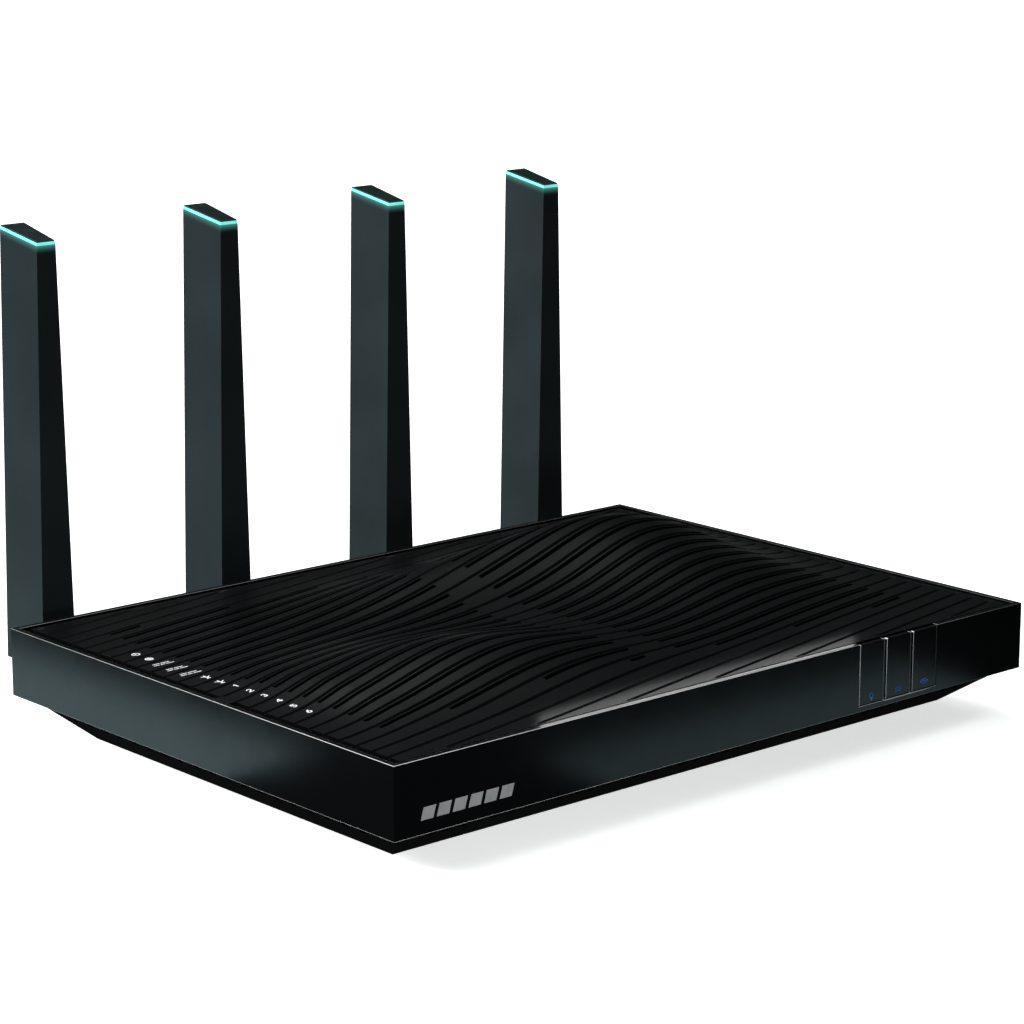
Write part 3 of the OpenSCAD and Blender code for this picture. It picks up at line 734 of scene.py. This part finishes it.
class ROUTER_OT_ribbed_top(PieceOperator, bpy.types.Operator):
    """Builds the waved top with its grooves, its open vent slots and the lip around it"""
    bl_idname = "router.ribbed_top"
    bl_label = "Ribbed Top"

    def execute(self, context):
        slab = ribbed_top(context.scene.router_sizes)
        make_piece("ribbed_top", *slab, "chassis", "cover", "cover_black", ["top_cover"], 25)
        low_z, lip_h = RIM_Z - COVER_T, COVER_T - LIP_DROP
        width, depth = 2 * COVER_HALF_W, 2 * COVER_HALF_D
        lip = carve([
            (1, box(0, COVER_Y - COVER_HALF_D, low_z, width, depth, lip_h)),
            (-1, box(0, COVER_Y - COVER_HALF_D + LIP_W, low_z,
                     width - 2 * LIP_W, depth - 2 * LIP_W, lip_h)),
        ])
        round_edges(make_piece("top_lip", *lip, "chassis", "cover", "cover_black"), 0.3, 2)
        # Flat catch in the left gutter, which lets the slab go
        catch = carve([(1, box(BAND_LOW.x + 4.9, -37.2, RIM_Z - 1.6, 4.6, 8.4, 1.8))])
        round_edges(make_piece("slab_catch", *catch, "chassis", "cover", "cover_black"), 0.4, 3)
        return {"FINISHED"}


class ROUTER_OT_side_band(PieceOperator, bpy.types.Operator):
    """Builds the deep polished band with its notch for the keys and its opening for the sockets"""
    bl_idname = "router.side_band"
    bl_label = "Side Band"

    def execute(self, context):
        low_z, wall, ledge_w, ledge_h = BAND_LOW.z, BAND_WALL, 3, 1.6
        width, depth, height = BAND_HIGH.x - BAND_LOW.x, REAR_Y - FRONT_Y, TOP_Z - BAND_LOW.z
        notch_low, notch_high = KEYS_LOW.x - KEY_GAP, KEYS_HIGH.x + KEY_GAP
        panel_w = PANEL_HIGH.x - PANEL_LOW.x + 2 * PANEL_GAP
        inner_w, inner_d = width - 2 * wall, depth - 2 * wall
        rib_w, rib_y = 0.7, FRONT_Y + 0.35
        ribs = [(1, box(x, rib_y, low_z + 1, rib_w, FRONT_Y + wall - rib_y, height - 1.4)) for x in KEY_RIBS]
        band = carve([
            (1, box(0, FRONT_Y, low_z, width, depth, height)),
            (-1, box(0, FRONT_Y + wall, low_z + ledge_h, inner_w, inner_d, height - ledge_h)),
            (-1, box(0, FRONT_Y + wall + ledge_w, low_z,
                     inner_w - 2 * ledge_w, inner_d - 2 * ledge_w, ledge_h)),
            (-1, box((notch_low + notch_high) / 2, FRONT_Y, KEYS_LOW.z - KEY_GAP,
                     notch_high - notch_low, wall, TOP_Z - KEYS_LOW.z + KEY_GAP)),
            (-1, box(0, REAR_Y - wall, PANEL_LOW.z - PANEL_GAP,
                     panel_w, wall, PANEL_HIGH.z - PANEL_LOW.z + 2 * PANEL_GAP)),
        ] + ribs)
        obj = make_piece("polished_band", *band, "chassis", "band", "band_black", ["side_band"])
        round_edges(obj, context.scene.router_sizes.band_edge / MM, 3)
        return {"FINISHED"}


class ROUTER_OT_vented_tray(PieceOperator, bpy.types.Operator):
    """Finishes the sloped tray with its square vents"""
    bl_idname = "router.vented_tray"
    bl_label = "Vented Tray"

    def execute(self, context):
        dress("bottom_tray", "tray", 0.3, 2)
        return {"FINISHED"}


def foot_profile(radius, height):
    """Outline of a rubber foot: a chamfered edge, and a shallow ring in its sole."""
    return [(0.4, 0.35), (radius * 0.45, 0.35), (radius * 0.5, 0), (radius - 1.1, 0), (radius - 0.5, 0.15),
            (radius - 0.1, 0.7), (radius, 1.2), (radius, height), (radius * 0.3, height)]


class ROUTER_OT_rubber_feet(PieceOperator, bpy.types.Operator):
    """Builds the four rubber feet"""
    bl_idname = "router.rubber_feet"
    bl_label = "Rubber Feet"

    def execute(self, context):
        low, high = node_box("rubber_feet")
        radius = 8
        verts, faces = [], []
        for x in (low.x + radius, high.x - radius):
            for y in (low.y + radius, high.y - radius):
                merge(verts, faces, lathe(foot_profile(radius, high.z - low.z), (x, y, low.z), 2))
        make_piece("feet", verts, faces, "chassis", "rubber", "foot_rubber", ["rubber_feet"])
        return {"FINISHED"}


class ROUTER_OT_front_keys(PieceOperator, bpy.types.Operator):
    """Finishes the three tall front keys"""
    bl_idname = "router.front_keys"
    bl_label = "Front Keys"

    def execute(self, context):
        for i in (1, 2, 3):
            dress(f"front_key_{i}", "keys", 0.4, 3)
        return {"FINISHED"}


# Rear sockets

# How far the sockets stand out of the panel, the opening of a network socket, and its latch notch
JACK_FACE = 0.3
SOCKET_W, SOCKET_H, SOCKET_DEPTH = 11.8, 8.2, 15
NOTCH_W, NOTCH_H = 6.4, 1.6
# Floor of the opening over the board, how far the lenses stand from the middle, and spacing of the springs
MOUTH_RISE, LENS_X, SPRING_PITCH = 2.2, 6, 1.02
# Contacts of a USB tongue: count, spacing, how far behind the face and under the tongue, and size
CONTACT_ROWS = ((4, 2.3, 8, 0.2, (1.1, 5.8, 0.25)), (5, 2.0, 3.2, 0.12, (0.5, 1.6, 0.2)))


def wire(points, x, width, thick):
    """Flat spring wire that follows points in Y and Z."""
    return ribbon(points, thick, -width / 2, width / 2, lambda u, v, w: (x + w, u, v))


def network_jack(name, look, slot):
    """One network socket: housing with its latch notch, eight contact springs and two indicator lenses."""
    low, high = node_box(name)
    x, face = (low.x + high.x) / 2, REAR_Y + JACK_FACE
    mouth_z = BOARD_TOP + MOUTH_RISE
    depth = SOCKET_DEPTH + JACK_FACE
    housing = carve([
        (1, box(x, low.y, low.z, high.x - low.x, face - low.y, high.z - low.z)),
        (-1, box(x, face - depth, mouth_z, SOCKET_W, depth, SOCKET_H)),
        (-1, box(x, face - depth, mouth_z + SOCKET_H, NOTCH_W, depth, NOTCH_H)),
        (-1, box(x, face - 3, mouth_z + SOCKET_H, NOTCH_W + 2.6, 2.2, 0.9)),
        (-1, box(x - LENS_X, face - 1, high.z - 2.2, 2.4, 1, 1.6)),
        (-1, box(x + LENS_X, face - 1, high.z - 2.2, 2.4, 1, 1.6)),
    ])
    body = make_piece(f"{name}_housing", *housing, "chassis", look, slot, [name])
    round_edges(body, 0.18, 2)
    verts, faces = [], []
    # A spring runs down from the rear of the opening and turns under at its front
    route = [(face - depth + 0.4, mouth_z + 6.6), (face - depth + 1.4, mouth_z + 6.4),
             (face - 5.2, mouth_z + 1.7), (face - 4.6, mouth_z + 0.8), (face - 4.8, mouth_z + 0.1)]
    for i in range(8):
        merge(verts, faces, wire(route, x + (i - 3.5) * SPRING_PITCH, 0.45, 0.25))
    round_edges(make_piece(f"{name}_springs", verts, faces, "chassis", "gold", "socket_steel"), 0.05, 1)
    verts, faces = [], []
    for side in (-LENS_X, LENS_X):
        merge(verts, faces, carve([(1, box(x + side, face - 0.95, high.z - 2.15, 2.3, 0.85, 1.5))]))
    round_edges(make_piece(f"{name}_lenses", verts, faces, "chassis", "lens", "led_white"), 0.2, 2)


class ROUTER_OT_network_jacks(PieceOperator, bpy.types.Operator):
    """Builds the six local sockets and the internet socket"""
    bl_idname = "router.network_jacks"
    bl_label = "Network Sockets"

    def execute(self, context):
        for i in range(1, 7):
            network_jack(f"lan_jack_{i}", "black socket", "jack_plastic")
        network_jack("wan_jack", "yellow socket", "wan_plastic")
        return {"FINISHED"}


def usb_socket(name):
    """One USB socket: folded steel shell with four spring tabs, and a tongue with its contacts."""
    low, high = node_box(name)
    x, face = (low.x + high.x) / 2, REAR_Y + JACK_FACE
    width, height = high.x - low.x, high.z - low.z
    wall = 0.5
    shell = carve([
        (1, box(x, low.y, low.z, width, face - low.y, height)),
        (-1, box(x, low.y + 1, low.z + wall, width - 2 * wall, face - low.y - 1, height - 2 * wall)),
    ])
    body = make_piece(f"{name}_shell", *shell, "chassis", "nickel", "socket_steel", [name])
    round_edges(body, 0.22, 3)
    verts, faces = [], []
    for side in (-1, 1):
        for edge, out in ((low.z + wall, 1), (high.z - wall, -1)):
            route = [(face - 1.0, edge), (face - 3.4, edge + out * 0.55), (face - 6.5, edge + out * 0.1)]
            merge(verts, faces, wire(route, x + side * 3.4, 1.9, 0.22))
    make_piece(f"{name}_tabs", verts, faces, "chassis", "nickel", "socket_steel")
    tongue_z = (low.z + high.z) / 2 + 0.2
    tongue = carve([
        (1, box(x, low.y + 0.8, tongue_z, 11, 11.7, 1.8)),
        (1, box(x, low.y + 0.8, low.z + wall, 12.4, 1.6, 5.6)),
    ])
    round_edges(make_piece(f"{name}_tongue", *tongue, "chassis", "blue tongue", "switch_plastic"), 0.3, 2)
    verts, faces = [], []
    for count, pitch, y, z, size in CONTACT_ROWS:
        for i in range(count):
            spot = (x + (i - (count - 1) / 2) * pitch, face - y, tongue_z - z)
            merge(verts, faces, carve([(1, box(*spot, *size))]))
    round_edges(make_piece(f"{name}_contacts", verts, faces, "chassis", "gold", "socket_steel"), 0.05, 1)


class ROUTER_OT_usb_sockets(PieceOperator, bpy.types.Operator):
    """Builds the two USB sockets"""
    bl_idname = "router.usb_sockets"
    bl_label = "USB Sockets"

    def execute(self, context):
        for i in (1, 2):
            usb_socket(f"usb_socket_{i}")
        return {"FINISHED"}


class ROUTER_OT_rear_panel(PieceOperator, bpy.types.Operator):
    """Finishes the rear panel, the power inlet with its contact pin, and the power and reset buttons"""
    bl_idname = "router.rear_panel"
    bl_label = "Rear Panel"

    def execute(self, context):
        for name in ("rear_panel", "power_panel", "power_inlet"):
            dress(name, "panel", 0.25, 2)
        low, high = node_box("power_inlet")
        centre = ((low.x + high.x) / 2, REAR_Y, (low.z + high.z) / 2)
        # Outlines of the contact pin and of the spring cup round it, from the mouth inward
        pin = [(0.3, -2.9), (0.75, -2.95), (1.0, -3.2), (1.08, -3.7), (1.08, -9.3), (0.3, -9.3)]
        make_piece("inlet_contact_pin", *lathe(pin, centre, 1, 32), "chassis", "nickel", "socket_steel")
        cup = [(3.42, -8.6), (3.42, -3.2), (3.3, -3.0), (3.2, -3.2), (3.2, -8.4), (0.6, -8.4), (0.6, -8.6)]
        make_piece("inlet_contact_cup", *lathe(cup, centre, 1, 48), "chassis", "nickel", "socket_steel")
        dress("power_button", "band", 0.35, 3)
        dress("reset_button", "red button", 0.12, 2)
        return {"FINISHED"}


# Antennas

def tip_solid(x, loops, hollow):
    """Solid through four-cornered loops, each given by its drop below the slanted tip and its inset."""
    verts, faces = [], []
    for drop, inset in loops:
        front, rear = TIP_LOW.y + inset, TIP_HIGH.y - inset
        for side, y in ((-1, front), (1, front), (1, rear), (-1, rear)):
            z = TIP_HIGH.z + TIP_SLOPE * (y - TIP_HIGH.y) - drop
            half = ANTENNA_HALF_W + REAR_FLARE * (y - TIP_LOW.y) - SIDE_TAPER * (z - ANTENNA_BASE_Z)
            verts.append((x + side * (half - inset), y, z))
    count = len(loops)
    for i in range(count if hollow else count - 1):
        for c in range(4):
            d, j = (c + 1) % 4, (i + 1) % count
            faces.append((4 * i + c, 4 * i + d, 4 * j + d, 4 * j + c))
    if not hollow:
        faces += [(3, 2, 1, 0), tuple(range(4 * count - 4, 4 * count))]
    return verts, faces


class ROUTER_OT_antennas(PieceOperator, bpy.types.Operator):
    """Finishes the four antennas, their lit rings and caps, and the hinges that carry them"""
    bl_idname = "router.antennas"
    bl_label = "Antennas"

    def execute(self, context):
        edge = context.scene.router_sizes.antenna_edge / MM
        for i in range(1, 5):
            dress(f"antenna_shell_{i}", "antenna", edge, 3)
            low, high = node_box(f"light_ring_{i}")
            x, body = (low.x + high.x) / 2, f"antenna_{i}"
            walls = tip_solid(x, [(RING_H, 0), (0.5, 0), (0.5, 1.2), (RING_H, 1.2)], True)
            walls = make_piece(f"tip_ring_{i}", *walls, body, "ring", "ring_teal", [f"light_ring_{i}"])
            round_edges(walls, 0.15, 2)
            lid = tip_solid(x, [(RING_H + 3, 1.25), (0.5, 1.25), (0.5, 0.15), (0, 0.15)], False)
            lid = make_piece(f"tip_lid_{i}", *lid, body, "cap", "cap_black", [f"antenna_cap_{i}"])
            round_edges(lid, 0.2, 2)
            dress(f"antenna_board_{i}", "board")
            dress(f"hinge_bracket_{i}", "panel", 0.4, 2)
        dress("hinge_pins", "zinc", 0.3, 2)
        return {"FINISHED"}


# Printed marks. Each mark is a list of strokes on a flat square from 0 to 1.

DIGITS = {
    "1": [[(0.3, 0.78), (0.55, 1), (0.55, 0)]],
    "2": [arc(0.5, 0.72, 0.3, 160, -30, 8) + [(0.15, 0), (0.88, 0)]],
    "3": [arc(0.48, 0.76, 0.25, 150, -80, 8), arc(0.48, 0.27, 0.29, 80, -150, 8)],
    "4": [[(0.68, 0), (0.68, 1), (0.12, 0.3), (0.92, 0.3)]],
    "5": [[(0.82, 1), (0.25, 1), (0.2, 0.58)], arc(0.47, 0.31, 0.32, 120, -150, 9)],
    "6": [arc(0.5, 0.3, 0.3, 0, 360, 14), [(0.24, 0.45), (0.45, 0.85), (0.7, 1)]],
}
ROUND_POWER = [arc(0.5, 0.5, 0.5, 120, 420, 16), [(0.5, 0.45), (0.5, 1.05)]]
GLOBE = [arc(0.5, 0.5, 0.5, 0, 360, 18), [(0, 0.5), (1, 0.5)], [(0.5, 0), (0.5, 1)]]
DASHES = [[(0, 0.35), (0.55, 0.35)], [(0.75, 0.35), (1.15, 0.35)], [(1.35, 0.35), (2.1, 0.35)],
          [(0.15, 0.75), (0.8, 0.75)], [(1.0, 0.75), (1.85, 0.75)]]
FORK = [[(0.5, 0), (0.5, 1)], [(0.5, 0.3), (0.95, 0.6)], [(0.5, 0.5), (0.05, 0.8)], [(0.3, 0), (0.7, 0)]]
LAMP = [arc(0.5, 0.62, 0.34, -60, 240, 14), [(0.36, 0.18), (0.64, 0.18)], [(0.4, 0), (0.6, 0)]]
LINKS = [arc(0.3, 0.5, 0.26, 30, 330, 12), arc(0.75, 0.5, 0.26, 210, 510, 12)]
SIGNAL = [arc(0.5, 0, 0.35, 40, 140, 8), arc(0.5, 0, 0.65, 40, 140, 10), arc(0.5, 0, 0.95, 40, 140, 12)]
# Size of the marks on the keys and the rear panel
MARK_SIZE = 2.6
# Marks of the top from the front to the rear: strokes, size, and the middle of the mark in X
TOP_MARKS = [(DIGITS[d], 2.5, -140.7) for d in "654321"]
TOP_MARKS += [(FORK, 3.4, -141.3)] * 2 + [(DASHES, 4.1, -142.3)] * 3
TOP_MARKS += [(GLOBE, 2.8, -142.5), (ROUND_POWER, 2.8, -142.5)]


def draw_mark(verts, faces, strokes, size, width, place, high=0.06):
    """Adds a mark's strokes, scaled to a size, as a raised film of ink."""
    for stroke in strokes:
        scaled = [(u * size, v * size) for u, v in stroke]
        merge(verts, faces, ribbon(scaled, width, -0.05, high, place))


class ROUTER_OT_printed_marks(PieceOperator, bpy.types.Operator):
    """Prints the marks of the top, the keys and the rear panel, and lays the badge"""
    bl_idname = "router.printed_marks"
    bl_label = "Printed Marks"

    def execute(self, context):
        width = context.scene.router_sizes.mark_width / MM
        self.mark_top(width)
        self.mark_keys(width)
        self.mark_panel(width * 0.8)
        self.lay_badge()
        return {"FINISHED"}

    def mark_top(self, width):
        verts, faces = [], []
        for i, (strokes, size, middle) in enumerate(TOP_MARKS):
            points = [point for stroke in strokes for point in stroke]
            across = [f(p[0] for p in points) * size for f in (min, max)]
            x0 = middle - sum(across) / 2
            y0 = groove_y(middle, 6 + i, GROOVE_PITCH / 2) - size / 2

            def place(u, v, w):
                return (x0 + u, y0 + v, RIM_Z + wave(x0 + u, y0 + v) + w)

            draw_mark(verts, faces, strokes, size, width, place)
        make_piece("top_marks", verts, faces, "chassis", "white ink", "led_white")

    def mark_keys(self, width):
        for i, strokes in enumerate((LAMP, LINKS, SIGNAL), 1):
            low, high = node_box(f"front_key_{i}")
            x0, z0 = (low.x + high.x - MARK_SIZE) / 2, low.z + 1.3
            verts, faces = [], []
            draw_mark(verts, faces, strokes, MARK_SIZE, width, lambda u, v, w: (x0 + u, low.y - w, z0 + v))
            make_piece(f"key_mark_{i}", verts, faces, f"key_{i}", "blue ink", "led_white")

    def mark_panel(self, width):
        verts, faces = [], []
        marks = [(f"lan_jack_{d}", DIGITS[d], node_box(f"lan_jack_{d}")[1].z + 1.4) for d in "123456"]
        marks += [("wan_jack", GLOBE, PANEL_HIGH.z - 4), ("power_button", ROUND_POWER, PANEL_HIGH.z - 4)]
        for name, strokes, z0 in marks:
            low, high = node_box(name)
            x0 = (low.x + high.x + MARK_SIZE) / 2
            draw_mark(verts, faces, strokes, MARK_SIZE, width, lambda u, v, w: (x0 - u, REAR_Y + w, z0 + v))
        make_piece("panel_marks", verts, faces, "chassis", "white ink", "led_white")

    def lay_badge(self):
        left, low_z, height = BAND_LOW.x + 11.3, TOP_Z - 21.2, 4.4
        bar_w, gap, lean = 5.4, 1.5, 1.3
        verts, faces = [], []
        for i in range(6):
            x = left + i * (bar_w + gap)
            ring = [(x, low_z), (x + bar_w, low_z)]
            ring += [(x + bar_w + lean, low_z + height), (x + lean, low_z + height)]
            merge(verts, faces, prism(ring, -0.05, 0.12, lambda u, v, w: (u, FRONT_Y - w, v)))
        round_edges(make_piece("badge_bars", verts, faces, "chassis", "foil", "socket_steel"), 0.3, 2)


# CAD nodes inside the case: names, finish, and the radius and steps of their edges
INSIDE_LOOKS = (
    (("circuit_board", "key_board"), "board", 0.1, 1),
    (("heat_sink", "heat_spreader"), "aluminium", 0.25, 2),
    (("case_screws", "board_screws"), "zinc", 0.2, 2),
    (("processor", "memory_chips"), "epoxy", 0.15, 2),
    (("power_switch", "reset_switch", "key_switches"), "black socket", 0.2, 2),
    (("shield_can_1", "shield_can_2", "shield_can_3"), "tin", 0.3, 2),
    (("thermal_pads",), "silicone", 0.2, 2),
    (("light_guide",), "acrylic", 0.2, 2),
    (("indicator_leds",), "lens", 0.15, 2),
    (("antenna_leads",), "jacket", 0, 2),
)


class ROUTER_OT_inside(PieceOperator, bpy.types.Operator):
    """Finishes what the case holds: boards, chips, heat sink, cans, switches, leads and screws"""
    bl_idname = "router.inside"
    bl_label = "Inside Parts"

    def execute(self, context):
        for names, look, radius_mm, segments in INSIDE_LOOKS:
            for name in names:
                dress(name, look, radius_mm, segments)
        return {"FINISHED"}


# Stage: floor, light and camera

CAMERA_AT = (-0.7845, -0.9005, 0.3604)
CAMERA_TILT = 90 - 13.135
CAMERA_TURN = -41.416
CAMERA_LENS = 112


def soft_box(name, place, aim, width, height, watts, colour, glossy):
    """Flat lamp that the camera doesn't see."""
    lamp = bpy.data.lights.new(name, "AREA")
    lamp.shape = "RECTANGLE"
    lamp.size, lamp.size_y = width, height
    lamp.energy = watts
    lamp.color = linear(colour)[:3]
    obj = bpy.data.objects.new(name, lamp)
    obj.location = place
    obj.rotation_euler = (Vector(aim) - Vector(place)).to_track_quat("-Z", "Y").to_euler()
    obj.visible_camera = False
    obj.visible_glossy = glossy
    bpy.context.scene.collection.objects.link(obj)
    return obj


def pale_floor():
    # Backlit white board: it stays white far from the lamps, and takes a soft shadow under the router.
    material, tree, shader, place = blank("backlit_white_board", {
        "Roughness": 0.9, "Specular IOR Level": 0.1, "Emission Strength": 0.72})
    roller = add(tree, "TexNoise", {"Vector": place, "Scale": per_metre(25), "Detail": 2.0})
    colour = tone(tree, shader, roller.outputs["Fac"], linear("#f7f8f8"), 0.99, 1.0)
    tree.links.new(colour, shader.inputs["Emission Color"])
    return material


# Brightness of the studio by height, from straight down (0) to straight up (1)
STUDIO_LEVELS = ((0.0, 0.03), (0.16, 0.025), (0.3, 0.008), (0.5, 0.008), (0.56, 0.012), (0.7, 0.018),
                 (1.0, 0.08))
WHITE, COOL = "#ffffff", "#d5f8fe"
# Lamps: name, place, what it faces, width, height, power, colour, and whether gloss shows it
LAMPS = (
    # Behind and to the left, off the gloss: an even tone on the antennas' broad sides
    ("antenna light", (-2.6, 2.9, 1.2), (0, 0.1, 0.1), 1.8, 1.4, 310, WHITE, False),
    # Close over the top: the long highlight behind the front edge, and its bright middle
    ("long edge light", (0.004, -0.112, 0.0515), (0.004, -0.132, 0.0445), 0.16, 0.003, 0.005, WHITE, True),
    ("short edge light", (0.006, -0.112, 0.0515), (0.006, -0.132, 0.0445), 0.05, 0.003, 0.006, WHITE, True),
    # Flat on the floor beside the left wall, and in front of the front wall
    ("left floor light", (-0.2, 0.17, 0.002), (-0.2, 0.17, 1), 0.05, 0.34, 0.055, COOL, True),
    ("front floor light", (0.07, -0.178, 0.002), (0.07, -0.178, 1), 0.2, 0.05, 0.015, COOL, True),
    # Low in front, off the gloss: shows the silver and blue prints on the dark walls
    ("print light", (-0.16, -0.34, 0.05), (-0.11, -0.132, 0.03), 0.1, 0.05, 0.25, WHITE, False),
    # High at both sides: the bright line along the top edges
    ("right high light", (1.2, -0.4, 1.4), (0, 0, 0), 0.5, 0.5, 3, WHITE, True),
    ("rear high light", (-0.45, 1.3, 1.2), (0, 0, 0), 0.5, 0.5, 3, WHITE, True),
    # Low behind the right: the lines on the crest of the ridge
    ("crest light", (1.35, 1.45, 0.12), (0, 0, 0.05), 1.6, 0.08, 0.18, WHITE, True),
    # High behind: shows the sockets from the rear
    ("rear light", (0.3, 1.3, 2.0), (0, 0.1, 0.03), 1.0, 0.6, 12, WHITE, True),
)


class ROUTER_OT_stage(PieceOperator, bpy.types.Operator):
    """Sets the pale floor, the soft light and the camera"""
    bl_idname = "router.stage"
    bl_label = "Stage"

    def execute(self, context):
        scene = context.scene
        mesh = bpy.data.meshes.new("floor")
        reach, under = 9.0, -0.0004
        mesh.from_pydata([(-reach, -reach, under), (reach, -reach, under), (reach, reach, under),
                          (-reach, reach, under)], [], [(0, 1, 2, 3)])
        floor = bpy.data.objects.new("floor", mesh)
        floor.data.materials.append(pale_floor())
        # The board lights nothing: the gloss and the plastic answer to the lamps alone
        floor.visible_glossy = False
        floor.visible_diffuse = False
        scene.collection.objects.link(floor)
        self.light_world(scene)
        for lamp in LAMPS:
            soft_box(*lamp)
        sun = bpy.data.objects.new("overhead light", bpy.data.lights.new("overhead light", "SUN"))
        sun.data.energy = 1.1
        sun.data.angle = math.radians(70)
        scene.collection.objects.link(sun)
        camera = bpy.data.objects.new("camera", bpy.data.cameras.new("camera"))
        camera.data.lens = CAMERA_LENS
        camera.data.clip_end = 100
        camera.location = CAMERA_AT
        camera.rotation_euler = [math.radians(a) for a in (CAMERA_TILT, 0, CAMERA_TURN)]
        scene.collection.objects.link(camera)
        scene.camera = camera
        scene.view_settings.view_transform = "Standard"
        return {"FINISHED"}

    def light_world(self, scene):
        """White behind the scene, and a dim studio, darkest at the floor's edge, for everything else."""
        world = bpy.data.worlds.new("studio")
        world.use_nodes = True
        scene.world = world
        tree = world.node_tree
        axes = add(tree, "SeparateXYZ", {"Vector": add(tree, "TexCoord").outputs["Generated"]})
        height = add(tree, "MapRange", {"Value": axes.outputs["Z"], "From Min": -1.0, "From Max": 1.0})
        ramp = add(tree, "ValToRGB", {"Fac": height.outputs["Result"]})
        stops = ramp.color_ramp.elements
        for position, level in STUDIO_LEVELS[1:-1]:
            stops.new(position)
        for stop, (position, level) in zip(stops, STUDIO_LEVELS):
            stop.position, stop.color = position, (level, level, level, 1)
        path = add(tree, "LightPath")
        dim = add(tree, "Background", {"Color": ramp.outputs["Color"], "Strength": 1.0})
        bright = add(tree, "Background", {"Color": linear(WHITE), "Strength": 1.05})
        mixed = add(tree, "MixShader", {
            0: path.outputs["Is Camera Ray"], 1: dim.outputs[0], 2: bright.outputs[0]})
        tree.links.new(mixed.outputs[0], tree.nodes["World Output"].inputs["Surface"])


class ROUTER_PT_builder(bpy.types.Panel):
    """Sidebar panel that lists the pieces in the order in which they are built"""
    bl_label = "Router"
    bl_idname = "ROUTER_PT_builder"
    bl_space_type = "VIEW_3D"
    bl_region_type = "UI"
    bl_category = "Router"

    def draw(self, context):
        for group in (context.scene.router_sizes, context.scene.router_colours):
            for key in group.__annotations__:
                self.layout.prop(group, key)
        for operator in OPERATORS:
            self.layout.operator(operator.bl_idname)


OPERATORS = (
    ROUTER_OT_ribbed_top, ROUTER_OT_side_band, ROUTER_OT_vented_tray, ROUTER_OT_rubber_feet,
    ROUTER_OT_front_keys, ROUTER_OT_network_jacks, ROUTER_OT_usb_sockets, ROUTER_OT_rear_panel,
    ROUTER_OT_antennas, ROUTER_OT_printed_marks, ROUTER_OT_inside, ROUTER_OT_stage,
)
CLASSES = (RouterSizes, RouterColours) + OPERATORS + (ROUTER_PT_builder,)


def register():
    for cls in CLASSES:
        bpy.utils.register_class(cls)
    bpy.types.Scene.router_sizes = PointerProperty(type=RouterSizes)
    bpy.types.Scene.router_colours = PointerProperty(type=RouterColours)


def unregister():
    del bpy.types.Scene.router_colours
    del bpy.types.Scene.router_sizes
    for cls in reversed(CLASSES):
        bpy.utils.unregister_class(cls)


def main():
    register()
    for operator in OPERATORS:
        group, name = operator.bl_idname.split(".")
        getattr(getattr(bpy.ops, group), name)()


if __name__ == "__main__":
    main()
